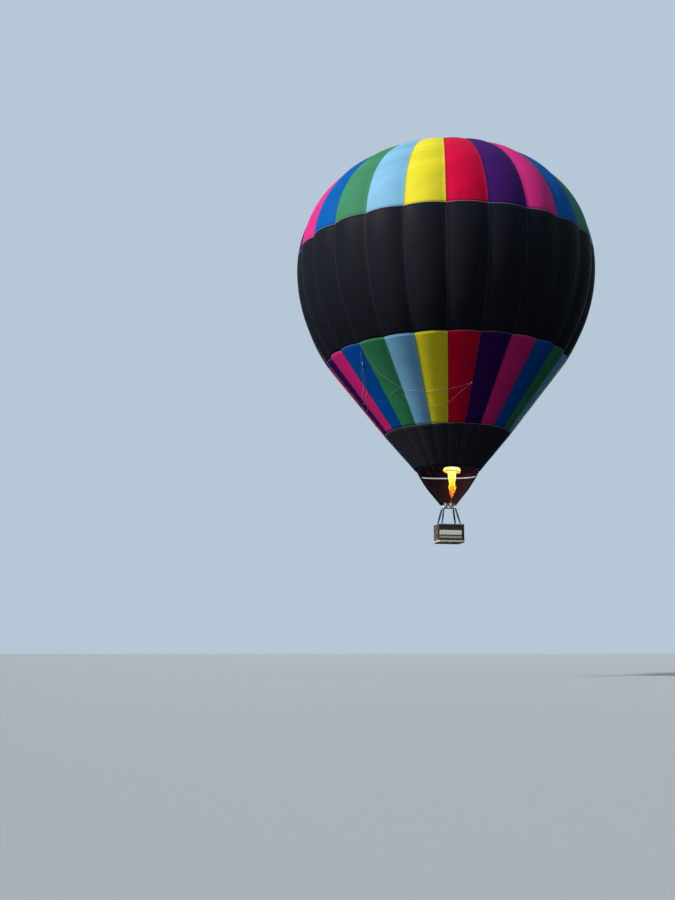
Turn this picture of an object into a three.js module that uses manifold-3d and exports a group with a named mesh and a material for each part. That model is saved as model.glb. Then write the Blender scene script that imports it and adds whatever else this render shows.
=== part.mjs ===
// A manned hot air balloon, afloat: envelope with parachute valve, scoop, burner on its gimbal, and basket.
// Millimetres, +Z up. The origin is on the vertical axis, at the middle of the envelope's widest circle.
// The basket's front looks along -Y.
import * as THREE from "three";
import { mergeVertices } from "three/addons/utils/BufferGeometryUtils.js";
import Module from "manifold-3d";

const wasm = await Module();
wasm.setup();

const GAP = 0.3;
const DEG = Math.PI / 180;

// Envelope
const GORES = 24;
const EQUATOR_RADIUS = 9450;
const CROWN_HEIGHT = 8010;
const CROWN_POWER = 2.065;
const LOWER_HALF_AXIS = 10000;
const CONE_START = -6385;
const CONE_APEX = -15660;
const GORE_BULGE = 0.023;
const SHELL = 10;
const BELT_TOP = 900;
const BELT_BOTTOM = -6070;
const STRIPES_BOTTOM = -10680;
const MOUTH = -12900;
const MOUTH_RADIUS = 2020;
const VENT_RADIUS = 2900;
const VALVE_RADIUS = 3300;
const VALVE_RINGS = [1100, 2100];
const CROWN_RING_RADIUS = 160;
const TAPE_WIDTH = 40;
const TAPE_START = 130;
const TAPE_PROUD = 4;

// Scoop: cloth over the back and sides, open at the front, from one load tape to another
const SCOOP_BOTTOM = -15030;
const SCOOP_FIRST_TAPE = -2;
const SCOOP_GORES = 14;
const SCOOP_THICKNESS = 10;
// How far its outside stands out past the line of the wires, at shares of the way down to its foot
const SCOOP_BELLY = [
  { share: 0.2, out: 84 },
  { share: 0.4, out: 104 },
  { share: 0.57, out: 98 },
  { share: 0.75, out: 58 },
  { share: 0.88, out: 24 },
  { share: 1, out: 16 },
];
// The pale ribbon across its inside: its lower edge at the back, and how far it dips at the sides
const RIBBON = { low: -13140, dip: 110, height: 80, thickness: 6 };

// Burner frame, gimbal and burners
const FRAME_Z = -15240;
const FRAME_X = 770;
const FRAME_Y = 480;
const FRAME_TUBE = 40;
const FRAME_CORNER = 60;
const LUG = { radius: 18, height: 40, sunk: 5 };
const GIMBAL_X = 630;
const GIMBAL_Y = 340;
const GIMBAL_TUBE = 25;
const GIMBAL_CORNER = 45;
const PIN = { radius: 12, play: 0.5, sunk: 10 };
const BLOCK = { halfLength: 260, halfWidth: 45, below: 35, above: 30 };
const RISER = { radius: 55, from: 20 };
const CAN_RADIUS = 150;
const CAN_SPACING = 350;
const CAN_HEIGHT = 190;
const CAN_WALL = 6;
const CAN_LIFT = 90;
const CAN_MOUTH = 40;
const CAN_SHOULDER = { width: 20, height: 30 };
const COIL = { inner: 78, outer: 118, above: 40 };
const WIRE = 6;
const FERRULE = { radius: 34, height: 60, wireRadius: 26, wireHeight: 32 };

// Basket
const RIM_TOP = -16270;
const BASKET_BOTTOM = -17430;
const BASKET_X = 1680;
const BASKET_Y = 1100;
const CORNER_RADIUS = 120;
const WALL = 50;
const RIM_WIDTH = 90;
const RIM_HEIGHT = 80;
const RIM_OVERHANG = 20;
const RIM_BEVEL = 22;
const RUNNER_HEIGHT = 40;
const RUNNER_WIDTH = 60;
const RUNNER_INSET = 60;
const RUNNER_SPACING = 400;
const FLOOR_THICKNESS = 20;
const UPRIGHT = { footX: 580, foot: 40, middle: 64, head: 50 };
const BASE_BAND = { thickness: 8, height: 110 };
const CYLINDER_RADIUS = 140;
const CYLINDER_HEIGHT = 840;
const CYLINDER_CLEARANCE = 20;
const BANNER = { width: 1400, height: 710, thickness: 6, middleX: -45, middleZ: -16897 };
const FOOTHOLD = { width: 160, height: 120, low: -16990, high: -16640, offset: 170 };

const floorTop = BASKET_BOTTOM + RUNNER_HEIGHT + FLOOR_THICKNESS;
const wallBottom = BASKET_BOTTOM + RUNNER_HEIGHT;
const wallTop = RIM_TOP - RIM_HEIGHT - GAP;
const corners = [
  { name: "front_left", x: -1, y: -1 },
  { name: "front_right", x: 1, y: -1 },
  { name: "back_left", x: -1, y: 1 },
  { name: "back_right", x: 1, y: 1 },
];

function material(color, roughness, metalness = 0) {
  return new THREE.MeshStandardMaterial({ color, roughness, metalness });
}

const looks = {
  crown: material(0xc8428a, 0.55),
  stripes: material(0x9c2f6c, 0.55),
  black: material(0x14151a, 0.5),
  valve: material(0xd8cf3a, 0.55),
  tape: material(0xe6e6ea, 0.6),
  scoop: material(0x3a1a24, 0.6),
  cable: material(0x8a8d90, 0.4, 0.8),
  steel: material(0xb4b8ba, 0.3, 1.0),
  brass: material(0xb08d4a, 0.35, 0.9),
  cover: material(0x1d3e67, 0.75),
  wicker: material(0x6b5532, 0.8),
  suede: material(0x3f4d52, 0.85),
  hide: material(0x252b33, 0.7),
  wood: material(0x9b8358, 0.7),
  cloth: material(0xd9d9d2, 0.7),
  cylinder: material(0xa9adb0, 0.35, 0.9),
};

// A closed surface from corner points and triangles, with equal points merged and collapsed faces dropped.
function closedGeometry(points, triangles) {
  const flat = triangles.flat().flatMap((i) => points[i]);
  const loose = new THREE.BufferGeometry();
  loose.setAttribute("position", new THREE.Float32BufferAttribute(flat, 3));
  const merged = mergeVertices(loose, 1e-3);
  const kept = [];
  for (let i = 0; i < merged.index.count; i += 3) {
    const [a, b, c] = [0, 1, 2].map((n) => merged.index.getX(i + n));
    if (a !== b && b !== c && a !== c) kept.push(a, b, c);
  }
  merged.setIndex(kept);
  return merged;
}

function solidOf(geometry) {
  const bare = geometry.clone();
  bare.deleteAttribute("normal");
  bare.deleteAttribute("uv");
  const merged = mergeVertices(bare, 1e-3);
  const mesh = new wasm.Mesh({
    numProp: 3,
    vertProperties: merged.attributes.position.array,
    triVerts: new Uint32Array(merged.index.array),
  });
  return new wasm.Manifold(mesh);
}

function geometryOf(solid) {
  const mesh = solid.getMesh();
  const geometry = new THREE.BufferGeometry();
  geometry.setAttribute("position", new THREE.BufferAttribute(mesh.vertProperties, 3));
  geometry.setIndex(new THREE.BufferAttribute(mesh.triVerts, 1));
  return geometry;
}

function joined(first, ...others) {
  return geometryOf(others.reduce((whole, g) => whole.add(solidOf(g)), solidOf(first)));
}

function cut(first, ...others) {
  return geometryOf(others.reduce((whole, g) => whole.subtract(solidOf(g)), solidOf(first)));
}

function box(low, high) {
  const [x, y, z] = [0, 1, 2].map((i) => high[i] - low[i]);
  const geometry = new THREE.BoxGeometry(x, y, z);
  return geometry.translate(low[0] + x / 2, low[1] + y / 2, low[2] + z / 2);
}

function cylinder(radius, low, high, sides = 16) {
  const height = high - low;
  const geometry = new THREE.CylinderGeometry(radius, radius, height, sides);
  return geometry.rotateX(Math.PI / 2).translate(0, 0, low + height / 2);
}

function pin(axis, radius, from, to, z) {
  const length = Math.abs(to - from);
  const geometry = new THREE.CylinderGeometry(radius, radius, length, 12);
  if (axis === "x") return geometry.rotateZ(Math.PI / 2).translate((from + to) / 2, 0, z);
  return geometry.translate(0, (from + to) / 2, z);
}

function roundedRectangle(x, y, radius) {
  const shape = new THREE.Shape();
  shape.moveTo(-x / 2 + radius, -y / 2);
  shape.lineTo(x / 2 - radius, -y / 2);
  shape.absarc(x / 2 - radius, -y / 2 + radius, radius, -90 * DEG, 0);
  shape.absarc(x / 2 - radius, y / 2 - radius, radius, 0, 90 * DEG);
  shape.absarc(-x / 2 + radius, y / 2 - radius, radius, 90 * DEG, 180 * DEG);
  shape.absarc(-x / 2 + radius, -y / 2 + radius, radius, 180 * DEG, 270 * DEG);
  return shape;
}

// A rectangular ring of rounded corners, between two heights.
function ring(x, y, radius, width, low, high, curveSegments = 4) {
  const shape = roundedRectangle(x, y, radius);
  shape.holes.push(roundedRectangle(x - 2 * width, y - 2 * width, radius - width));
  const settings = { depth: high - low, bevelEnabled: false, curveSegments };
  return new THREE.ExtrudeGeometry(shape, settings).translate(0, 0, low);
}

// The envelope's outer profile by station: 0 to 1 is the crown, 1 to 2 the belly, 2 to 3 the straight cone
// down to the stripes' foot, 3 to 4 the base, which draws in a little faster.
const bellyAngle = Math.asin(-CONE_START / LOWER_HALF_AXIS);
const coneSlope =
  (EQUATOR_RADIUS * Math.cos(bellyAngle)) / (CONE_START - CONE_APEX);
const baseTopRadius = (STRIPES_BOTTOM - CONE_APEX) * coneSlope;
const baseSlope = (baseTopRadius - MOUTH_RADIUS) / (STRIPES_BOTTOM - MOUTH);

function profile(station) {
  if (station <= 1) {
    const angle = station * 90 * DEG;
    const r = EQUATOR_RADIUS * Math.sin(angle) ** (2 / CROWN_POWER);
    return [r, CROWN_HEIGHT * Math.max(Math.cos(angle), 0) ** (2 / CROWN_POWER)];
  }
  if (station <= 2) {
    const angle = (station - 1) * bellyAngle;
    return [EQUATOR_RADIUS * Math.cos(angle), -LOWER_HALF_AXIS * Math.sin(angle)];
  }
  if (station <= 3) {
    const z = CONE_START + (station - 2) * (STRIPES_BOTTOM - CONE_START);
    return [(z - CONE_APEX) * coneSlope, z];
  }
  const z = STRIPES_BOTTOM + (station - 3) * (MOUTH - STRIPES_BOTTOM);
  return [MOUTH_RADIUS + (z - MOUTH) * baseSlope, z];
}

function stationAtHeight(z) {
  if (z >= 0) return Math.acos((z / CROWN_HEIGHT) ** (CROWN_POWER / 2)) / (90 * DEG);
  if (z >= CONE_START) return 1 + Math.asin(-z / LOWER_HALF_AXIS) / bellyAngle;
  return 2 + (z - CONE_START) / (STRIPES_BOTTOM - CONE_START);
}

function stationAtRadius(r) {
  return Math.asin((r / EQUATOR_RADIUS) ** (CROWN_POWER / 2)) / (90 * DEG);
}

// The profile's point at a station, moved in by a depth along the skin's normal and down the skin by a shift.
function skinPoint(station, depth, shift = 0) {
  const step = 1e-3;
  const [r, z] = profile(station);
  const [r0, z0] = profile(Math.max(station - step, 0));
  const [r1, z1] = profile(station + step);
  const length = Math.hypot(r1 - r0, z1 - z0);
  const [alongR, alongZ] = station === 0 ? [1, 0] : [(r1 - r0) / length, (z1 - z0) / length];
  return [r + alongZ * depth + alongR * shift, z - alongR * depth + alongZ * shift];
}

// Each gore bulges between its two load tapes; three facets a gore carry the bulge.
const FACETS = 3;

function goreScale(facet) {
  const across = (2 * (facet % FACETS)) / FACETS - 1;
  return 1 - GORE_BULGE * (facet % FACETS === 0 ? 1 : across * across);
}

function onGore(facet, [r, z]) {
  const angle = (facet / FACETS) * (360 / GORES) * DEG;
  const radius = r * goreScale(facet);
  return [radius * Math.cos(angle), radius * Math.sin(angle), z];
}

// A lobed shell through stations from the top down, its skin from one depth to another.
function lobedShell(stations, outer, inner, shiftTop, shiftBottom) {
  const around = GORES * FACETS;
  const points = [];
  const last = stations.length - 1;
  const shiftAt = (i) => (i === 0 ? shiftTop : i === last ? -shiftBottom : 0);
  for (const depth of [outer, inner])
    stations.forEach((station, i) => {
      const point = skinPoint(station, depth, shiftAt(i));
      for (let facet = 0; facet < around; facet++) points.push(onGore(facet, point));
    });
  const at = (side, level, facet) =>
    (side * stations.length + level) * around + (facet % around);
  const triangles = [];
  const quad = (a, b, c, d) => triangles.push([a, b, c], [a, c, d]);
  for (let f = 0; f < around; f++) {
    for (let i = 0; i < last; i++) {
      quad(at(0, i, f), at(0, i + 1, f), at(0, i + 1, f + 1), at(0, i, f + 1));
      quad(at(1, i, f), at(1, i, f + 1), at(1, i + 1, f + 1), at(1, i + 1, f));
    }
    quad(at(0, 0, f), at(0, 0, f + 1), at(1, 0, f + 1), at(1, 0, f));
    quad(at(0, last, f), at(1, last, f), at(1, last, f + 1), at(0, last, f + 1));
  }
  return closedGeometry(points, triangles);
}

function spread(from, to, steps) {
  return Array.from({ length: steps + 1 }, (_, i) => from + ((to - from) * i) / steps);
}

const vent = stationAtRadius(VENT_RADIUS);
const seat = stationAtRadius(VALVE_RADIUS);
const beltTop = stationAtHeight(BELT_TOP);
const beltBottom = stationAtHeight(BELT_BOTTOM);
const stripesBottom = stationAtHeight(STRIPES_BOTTOM);

function envelopeCrown() {
  return lobedShell([vent, ...spread(seat, beltTop, 6)], 0, SHELL, 0, GAP);
}

function envelopeBelt() {
  return lobedShell([beltTop, ...spread(1, beltBottom, 4)], 0, SHELL, 0, GAP);
}

function envelopeStripes() {
  return lobedShell([beltBottom, 2, stripesBottom], 0, SHELL, 0, GAP);
}

function envelopeBase() {
  return lobedShell([stripesBottom, 4], 0, SHELL, 0, 0);
}

function parachuteValve() {
  const depth = SHELL + GAP;
  const stations = [0, ...VALVE_RINGS.map(stationAtRadius), vent, seat];
  return lobedShell(stations, depth, depth + SHELL, 0, 0);
}

// A flat strip along one load tape, through stations from the top down, with a reach past its two ends.
function tapeStrip(tape, stations, outer, inner, endShift) {
  const angle = tape * (360 / GORES) * DEG;
  const side = [-Math.sin(angle), Math.cos(angle)];
  const points = [];
  stations.forEach((station, i) => {
    const shift = i === stations.length - 1 ? endShift : 0;
    for (const depth of [outer, inner]) {
      const [x, y, z] = onGore(tape * FACETS, skinPoint(station, depth, shift));
      for (const half of [-TAPE_WIDTH / 2, TAPE_WIDTH / 2])
        points.push([x + half * side[0], y + half * side[1], z]);
    }
  });
  const triangles = [];
  const quad = (a, b, c, d) => triangles.push([a, b, c], [a, c, d]);
  for (let i = 0; i < stations.length - 1; i++) {
    const [a, b] = [4 * i, 4 * i + 4];
    quad(a, b, b + 1, a + 1);
    quad(a + 2, a + 3, b + 3, b + 2);
    quad(a, a + 2, b + 2, b);
    quad(a + 1, b + 1, b + 3, a + 3);
  }
  const end = 4 * (stations.length - 1);
  quad(0, 1, 3, 2);
  quad(end, end + 2, end + 3, end + 1);
  return closedGeometry(points, triangles);
}

function crownTapes() {
  const stations = [TAPE_START, ...VALVE_RINGS].map(stationAtRadius);
  const strips = Array.from({ length: GORES }, (_, tape) =>
    tapeStrip(tape, [...stations, vent], -TAPE_PROUD, SHELL - TAPE_PROUD, -GAP),
  );
  const low = CROWN_HEIGHT - SHELL + TAPE_PROUD;
  const disc = cylinder(CROWN_RING_RADIUS, low, low + SHELL + TAPE_PROUD, 24);
  const hole = cylinder(CROWN_RING_RADIUS / 2, low - SHELL * 2, low + SHELL * 3, 24);
  return cut(joined(disc, ...strips), hole);
}

// A straight square bar between two points.
function bar(from, to, width) {
  const a = new THREE.Vector3(...from);
  const b = new THREE.Vector3(...to);
  const geometry = new THREE.BoxGeometry(width, width, a.distanceTo(b));
  const turn = new THREE.Quaternion().setFromUnitVectors(
    new THREE.Vector3(0, 0, 1),
    b.clone().sub(a).normalize(),
  );
  const middle = a.clone().add(b).multiplyScalar(0.5);
  return geometry.applyQuaternion(turn).translate(middle.x, middle.y, middle.z);
}

const frameTop = FRAME_Z + FRAME_TUBE / 2;
const lugX = FRAME_X / 2 - FRAME_TUBE / 2;
const lugY = FRAME_Y / 2 - FRAME_TUBE / 2;
const lugTop = frameTop + LUG.height;

// The loop at the foot of one load tape, against the inside of the mouth, that a wire hooks into.
const LOOP = { width: 16, depth: 14, height: 45 };
const loopOutside = (MOUTH_RADIUS - SHELL / Math.hypot(1, baseSlope)) * (1 - GORE_BULGE) - GAP;
const loopTop = MOUTH + LOOP.height;

// Where the wire from one load tape starts, in the middle of its loop, and where it ends, in the ferrule
// on its corner of the burner frame.
function wireEnds(tape) {
  const angle = tape * (360 / GORES) * DEG;
  const quarter = Math.floor((((tape % GORES) + GORES) % GORES) / (GORES / 4));
  const corner = [[1, 1], [-1, 1], [-1, -1], [1, -1]][quarter];
  const r = loopOutside - LOOP.depth / 2;
  const head = [r * Math.cos(angle), r * Math.sin(angle), loopTop - LOOP.height / 2];
  const foot = [corner[0] * lugX, corner[1] * lugY, lugTop + GAP];
  const course = Math.atan2(head[1] - foot[1], head[0] - foot[0]);
  const tail = [
    foot[0] + FERRULE.wireRadius * Math.cos(course),
    foot[1] + FERRULE.wireRadius * Math.sin(course),
    foot[2] + FERRULE.wireHeight,
  ];
  return { angle, corner, head, foot, tail };
}

// Six wires from the mouth's load tapes to the ferrule on one corner of the burner frame.
function flyingWires(corner) {
  const ends = Array.from({ length: GORES }, (_, tape) => wireEnds(tape)).filter(
    (wire) => wire.corner[0] === corner.x && wire.corner[1] === corner.y,
  );
  const [x, y, z] = ends[0].foot;
  const pieces = [cylinder(FERRULE.radius, z, z + FERRULE.height, 16).translate(x, y, 0)];
  for (const { angle, head, tail } of ends) {
    const loop = box(
      [loopOutside - LOOP.depth, -LOOP.width / 2, loopTop - LOOP.height],
      [loopOutside, LOOP.width / 2, loopTop],
    );
    pieces.push(loop.rotateZ(angle), bar(head, tail, WIRE));
  }
  return joined(...pieces);
}

// The direction out from the axis over one load tape.
function outward(tape) {
  const angle = tape * (360 / GORES) * DEG;
  return new THREE.Vector3(Math.cos(angle), Math.sin(angle), 0);
}

const scoopTapes = spread(SCOOP_FIRST_TAPE, SCOOP_FIRST_TAPE + SCOOP_GORES, SCOOP_GORES);

// The ribbon's lower edge over one load tape: it dips towards the sides.
function ribbonLow(tape) {
  const back = SCOOP_FIRST_TAPE + SCOOP_GORES / 2;
  return RIBBON.low - RIBBON.dip * Math.sin((tape - back) * (360 / GORES) * DEG) ** 2;
}

// The scoop's outside over one load tape, from the mouth's edge down round the outside of the wire.
// Its second and third points are level with the ribbon's edges.
function scoopLine(tape) {
  const { head, tail } = wireEnds(tape);
  const [from, to] = [new THREE.Vector3(...head), new THREE.Vector3(...tail)];
  const top = outward(tape).multiplyScalar(MOUTH_RADIUS * (1 - GORE_BULGE)).setZ(MOUTH - GAP);
  const rest = SCOOP_BELLY.map(({ share, out }) => {
    const z = top.z + share * (SCOOP_BOTTOM - top.z);
    const wire = from.clone().lerp(to, (from.z - z) / (from.z - to.z));
    return wire.addScaledVector(outward(tape), out);
  });
  const beside = (z) => top.clone().lerp(rest[0], (top.z - z) / (top.z - rest[0].z));
  const low = ribbonLow(tape);
  return [top, beside(low + RIBBON.height), beside(low), ...rest];
}

// A closed band of cloth: its outside as rows of points, one row for each level, and its thickness.
function openBand(levels, thickness) {
  const inside = levels.map((level) =>
    level.map((point, i) => point.clone().addScaledVector(outward(scoopTapes[i]), -thickness)),
  );
  const [row, count, end] = [scoopTapes.length, levels.length, SCOOP_GORES];
  const at = (side, level, i) => (side * count + level) * row + i;
  const triangles = [];
  const quad = (a, b, c, d) => triangles.push([a, b, c], [a, c, d]);
  for (let level = 0; level < count - 1; level++) {
    for (let i = 0; i < SCOOP_GORES; i++) {
      quad(at(0, level, i), at(0, level + 1, i), at(0, level + 1, i + 1), at(0, level, i + 1));
      quad(at(1, level, i), at(1, level, i + 1), at(1, level + 1, i + 1), at(1, level + 1, i));
    }
    quad(at(0, level, 0), at(1, level, 0), at(1, level + 1, 0), at(0, level + 1, 0));
    quad(at(0, level, end), at(0, level + 1, end), at(1, level + 1, end), at(1, level, end));
  }
  const foot = count - 1;
  for (let i = 0; i < SCOOP_GORES; i++) {
    quad(at(0, 0, i), at(0, 0, i + 1), at(1, 0, i + 1), at(1, 0, i));
    quad(at(0, foot, i), at(1, foot, i), at(1, foot, i + 1), at(0, foot, i + 1));
  }
  const points = [...levels.flat(), ...inside.flat()];
  return closedGeometry(points.map((point) => point.toArray()), triangles);
}

// The scoop hangs from the mouth's edge round the outside of the wires, and bellies out past them.
function scoop() {
  const lines = scoopTapes.map(scoopLine);
  const levels = lines[0].map((_, level) => lines.map((line) => line[level]));
  return openBand(levels, SCOOP_THICKNESS);
}

// The ribbon lies against the scoop's inside near its top.
function mouthTape() {
  const levels = [1, 2].map((level) =>
    scoopTapes.map((tape) => scoopLine(tape)[level].addScaledVector(outward(tape), -SCOOP_THICKNESS - GAP)),
  );
  return openBand(levels, RIBBON.thickness);
}

function loadFrame() {
  const low = FRAME_Z - FRAME_TUBE / 2;
  const tube = ring(FRAME_X, FRAME_Y, FRAME_CORNER, FRAME_TUBE, low, frameTop);
  const lugs = corners.map((c) =>
    cylinder(LUG.radius, frameTop - LUG.sunk, lugTop, 12).translate(c.x * lugX, c.y * lugY, 0),
  );
  return joined(tube, ...lugs);
}

function gimbalRing() {
  const half = GIMBAL_TUBE / 2;
  const [low, high] = [FRAME_Z - half, FRAME_Z + half];
  const tube = ring(GIMBAL_X, GIMBAL_Y, GIMBAL_CORNER, GIMBAL_TUBE, low, high);
  const reach = FRAME_X / 2 - FRAME_TUBE - PIN.play;
  const pins = [-1, 1].map((s) =>
    pin("x", PIN.radius, s * (GIMBAL_X / 2 - PIN.sunk), s * reach, FRAME_Z),
  );
  return joined(tube, ...pins);
}

const canX = CAN_SPACING / 2;
const canBottom = FRAME_Z + CAN_LIFT;

function burnerBlock() {
  const body = box(
    [-BLOCK.halfLength, -BLOCK.halfWidth, FRAME_Z - BLOCK.below],
    [BLOCK.halfLength, BLOCK.halfWidth, FRAME_Z + BLOCK.above],
  );
  const reach = GIMBAL_Y / 2 - GIMBAL_TUBE - PIN.play;
  const yoke = pin("y", PIN.radius, -reach, reach, FRAME_Z);
  const risers = [-canX, canX].map((x) =>
    cylinder(RISER.radius, FRAME_Z + RISER.from, canBottom - GAP, 16).translate(x, 0, 0),
  );
  return joined(body, yoke, ...risers);
}

function burnerCan(x) {
  const [top, floor] = [canBottom + CAN_HEIGHT, canBottom + CAN_WALL];
  const inner = CAN_RADIUS - CAN_WALL;
  const outline = [
    [CAN_MOUTH, canBottom],
    [CAN_RADIUS - CAN_SHOULDER.width, canBottom],
    [CAN_RADIUS, canBottom + CAN_SHOULDER.height],
    [CAN_RADIUS, top],
    [inner, top],
    [inner, canBottom + CAN_SHOULDER.height + CAN_WALL / 2],
    [inner - CAN_SHOULDER.width + CAN_WALL / 2, floor],
    [CAN_MOUTH, floor],
    [CAN_MOUTH, canBottom],
  ];
  return new THREE.LatheGeometry(outline.map(([r, z]) => new THREE.Vector2(r, z)), 20)
    .rotateX(Math.PI / 2)
    .translate(x, 0, 0);
}

function burnerCoil(x) {
  const [low, high] = [canBottom + CAN_WALL + GAP, canBottom + CAN_HEIGHT + COIL.above];
  const outline = [
    [COIL.inner, low],
    [COIL.outer, low],
    [COIL.outer, high],
    [COIL.inner, high],
    [COIL.inner, low],
  ];
  return new THREE.LatheGeometry(outline.map(([r, z]) => new THREE.Vector2(r, z)), 16)
    .rotateX(Math.PI / 2)
    .translate(x, 0, 0);
}

// A padded upright leans from the basket's rim up to the burner frame, its two ends level.
function upright(corner) {
  const sides = 12;
  const railY = BASKET_Y / 2 + RIM_OVERHANG - RIM_WIDTH / 2;
  const foot = new THREE.Vector3(corner.x * UPRIGHT.footX, corner.y * railY, RIM_TOP + GAP);
  const headZ = FRAME_Z - FRAME_TUBE / 2 - GAP;
  const head = new THREE.Vector3(corner.x * lugX, corner.y * lugY, headZ);
  const levels = [
    [foot, UPRIGHT.foot],
    [foot.clone().lerp(head, 0.5), UPRIGHT.middle],
    [head, UPRIGHT.head],
  ];
  const points = levels.flatMap(([middle, radius]) =>
    Array.from({ length: sides }, (_, i) => {
      const angle = ((i + 0.5) * 360 * DEG) / sides;
      const [x, y] = [middle.x + radius * Math.cos(angle), middle.y + radius * Math.sin(angle)];
      return [x, y, middle.z];
    }),
  );
  const top = sides * (levels.length - 1);
  const triangles = [];
  for (let i = 0; i < sides; i++) {
    const next = (i + 1) % sides;
    for (let low = 0; low < top; low += sides) {
      const high = low + sides;
      triangles.push([low + i, low + next, high + next], [low + i, high + next, high + i]);
    }
    if (i > 0 && next !== 0) triangles.push([0, next, i], [top, top + i, top + next]);
  }
  return closedGeometry(points, triangles);
}

function basketRim() {
  const [x, y] = [BASKET_X + 2 * RIM_OVERHANG, BASKET_Y + 2 * RIM_OVERHANG];
  const outer = CORNER_RADIUS + RIM_OVERHANG;
  const shape = roundedRectangle(x - 2 * RIM_BEVEL, y - 2 * RIM_BEVEL, outer - RIM_BEVEL);
  const inset = 2 * (RIM_WIDTH - RIM_BEVEL);
  shape.holes.push(roundedRectangle(x - inset, y - inset, outer - RIM_WIDTH + RIM_BEVEL));
  const settings = {
    depth: RIM_HEIGHT - 2 * RIM_BEVEL,
    bevelEnabled: true,
    bevelThickness: RIM_BEVEL,
    bevelSize: RIM_BEVEL,
    bevelSegments: 1,
    curveSegments: 4,
  };
  const low = RIM_TOP - RIM_HEIGHT + RIM_BEVEL;
  return new THREE.ExtrudeGeometry(shape, settings).translate(0, 0, low);
}

const straightX = BASKET_X / 2 - CORNER_RADIUS - GAP;
const straightY = BASKET_Y / 2 - CORNER_RADIUS - GAP;

function longWall(side) {
  const [near, far] = [BASKET_Y / 2 - WALL, BASKET_Y / 2].map((y) => side * y);
  const [low, high] = [Math.min(near, far), Math.max(near, far)];
  return box([-straightX, low, wallBottom], [straightX, high, wallTop]);
}

// A short wall has two footholds through it, one above the other and to either side.
function shortWall(side) {
  const [near, far] = [BASKET_X / 2 - WALL, BASKET_X / 2].map((x) => side * x);
  const [low, high] = [Math.min(near, far), Math.max(near, far)];
  const wall = box([low, -straightY, wallBottom], [high, straightY, wallTop]);
  const holes = [
    { y: -FOOTHOLD.offset, z: FOOTHOLD.low },
    { y: FOOTHOLD.offset, z: FOOTHOLD.high },
  ].map(({ y, z }) => {
    const [halfWidth, halfHeight] = [FOOTHOLD.width / 2, FOOTHOLD.height / 2];
    return box([low - 5, y - halfWidth, z - halfHeight], [high + 5, y + halfWidth, z + halfHeight]);
  });
  return cut(wall, ...holes);
}

function basketCorner(corner) {
  const shape = new THREE.Shape();
  const start = Math.atan2(corner.y, corner.x) - 45 * DEG;
  const middle = [
    corner.x * (BASKET_X / 2 - CORNER_RADIUS),
    corner.y * (BASKET_Y / 2 - CORNER_RADIUS),
  ];
  const quarterStart = Math.round(start / (90 * DEG)) * 90 * DEG;
  const steps = 5;
  for (const [radius, turn] of [[CORNER_RADIUS, 1], [CORNER_RADIUS - WALL, -1]])
    for (let i = 0; i <= steps; i++) {
      const share = turn > 0 ? i / steps : 1 - i / steps;
      const angle = quarterStart + share * 90 * DEG;
      const point = [middle[0] + radius * Math.cos(angle), middle[1] + radius * Math.sin(angle)];
      if (i === 0 && turn > 0) shape.moveTo(...point);
      else shape.lineTo(...point);
    }
  shape.closePath();
  const settings = { depth: wallTop - wallBottom, bevelEnabled: false };
  return new THREE.ExtrudeGeometry(shape, settings).translate(0, 0, wallBottom);
}

function basketFloor() {
  const [x, y] = [BASKET_X - 2 * WALL - 1, BASKET_Y - 2 * WALL - 1];
  const shape = roundedRectangle(x, y, CORNER_RADIUS);
  const settings = { depth: FLOOR_THICKNESS, bevelEnabled: false, curveSegments: 3 };
  return new THREE.ExtrudeGeometry(shape, settings).translate(0, 0, wallBottom);
}

function baseBand() {
  const { thickness, height } = BASE_BAND;
  const reach = thickness + GAP;
  const [x, y] = [BASKET_X + 2 * reach, BASKET_Y + 2 * reach];
  return ring(x, y, CORNER_RADIUS + reach, thickness, wallBottom, wallBottom + height, 5);
}

function runner(y) {
  const halfLength = BASKET_X / 2 - RUNNER_INSET;
  const halfWidth = RUNNER_WIDTH / 2;
  return box(
    [-halfLength, y - halfWidth, BASKET_BOTTOM],
    [halfLength, y + halfWidth, BASKET_BOTTOM + RUNNER_HEIGHT],
  );
}

function banner() {
  const face = -BASKET_Y / 2 - GAP;
  const { width, height, thickness, middleX, middleZ } = BANNER;
  return box(
    [middleX - width / 2, face - thickness, middleZ - height / 2],
    [middleX + width / 2, face, middleZ + height / 2],
  );
}

function fuelCylinder(corner) {
  const low = floorTop + GAP;
  const shoulder = low + CYLINDER_HEIGHT;
  const r = CYLINDER_RADIUS;
  const outline = [
    [0, low],
    [r - 25, low],
    [r, low + 40],
    [r, shoulder - 90],
    [r - 30, shoulder - 25],
    [r - 55, shoulder - 10],
    [r - 55, shoulder + 70],
    [r - 65, shoulder + 70],
    [r - 65, shoulder - 5],
    [30, shoulder],
    [30, shoulder + 60],
    [0, shoulder + 60],
  ];
  const inset = WALL + r + CYLINDER_CLEARANCE;
  const middle = [BASKET_X / 2 - inset, BASKET_Y / 2 - inset];
  return new THREE.LatheGeometry(outline.map(([x, z]) => new THREE.Vector2(x, z)), 12)
    .rotateX(Math.PI / 2)
    .translate(corner.x * middle[0], corner.y * middle[1], 0);
}

const balloon = new THREE.Group();

function add(name, geometry, look) {
  const mesh = new THREE.Mesh(geometry, look);
  mesh.name = name;
  balloon.add(mesh);
}

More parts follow.
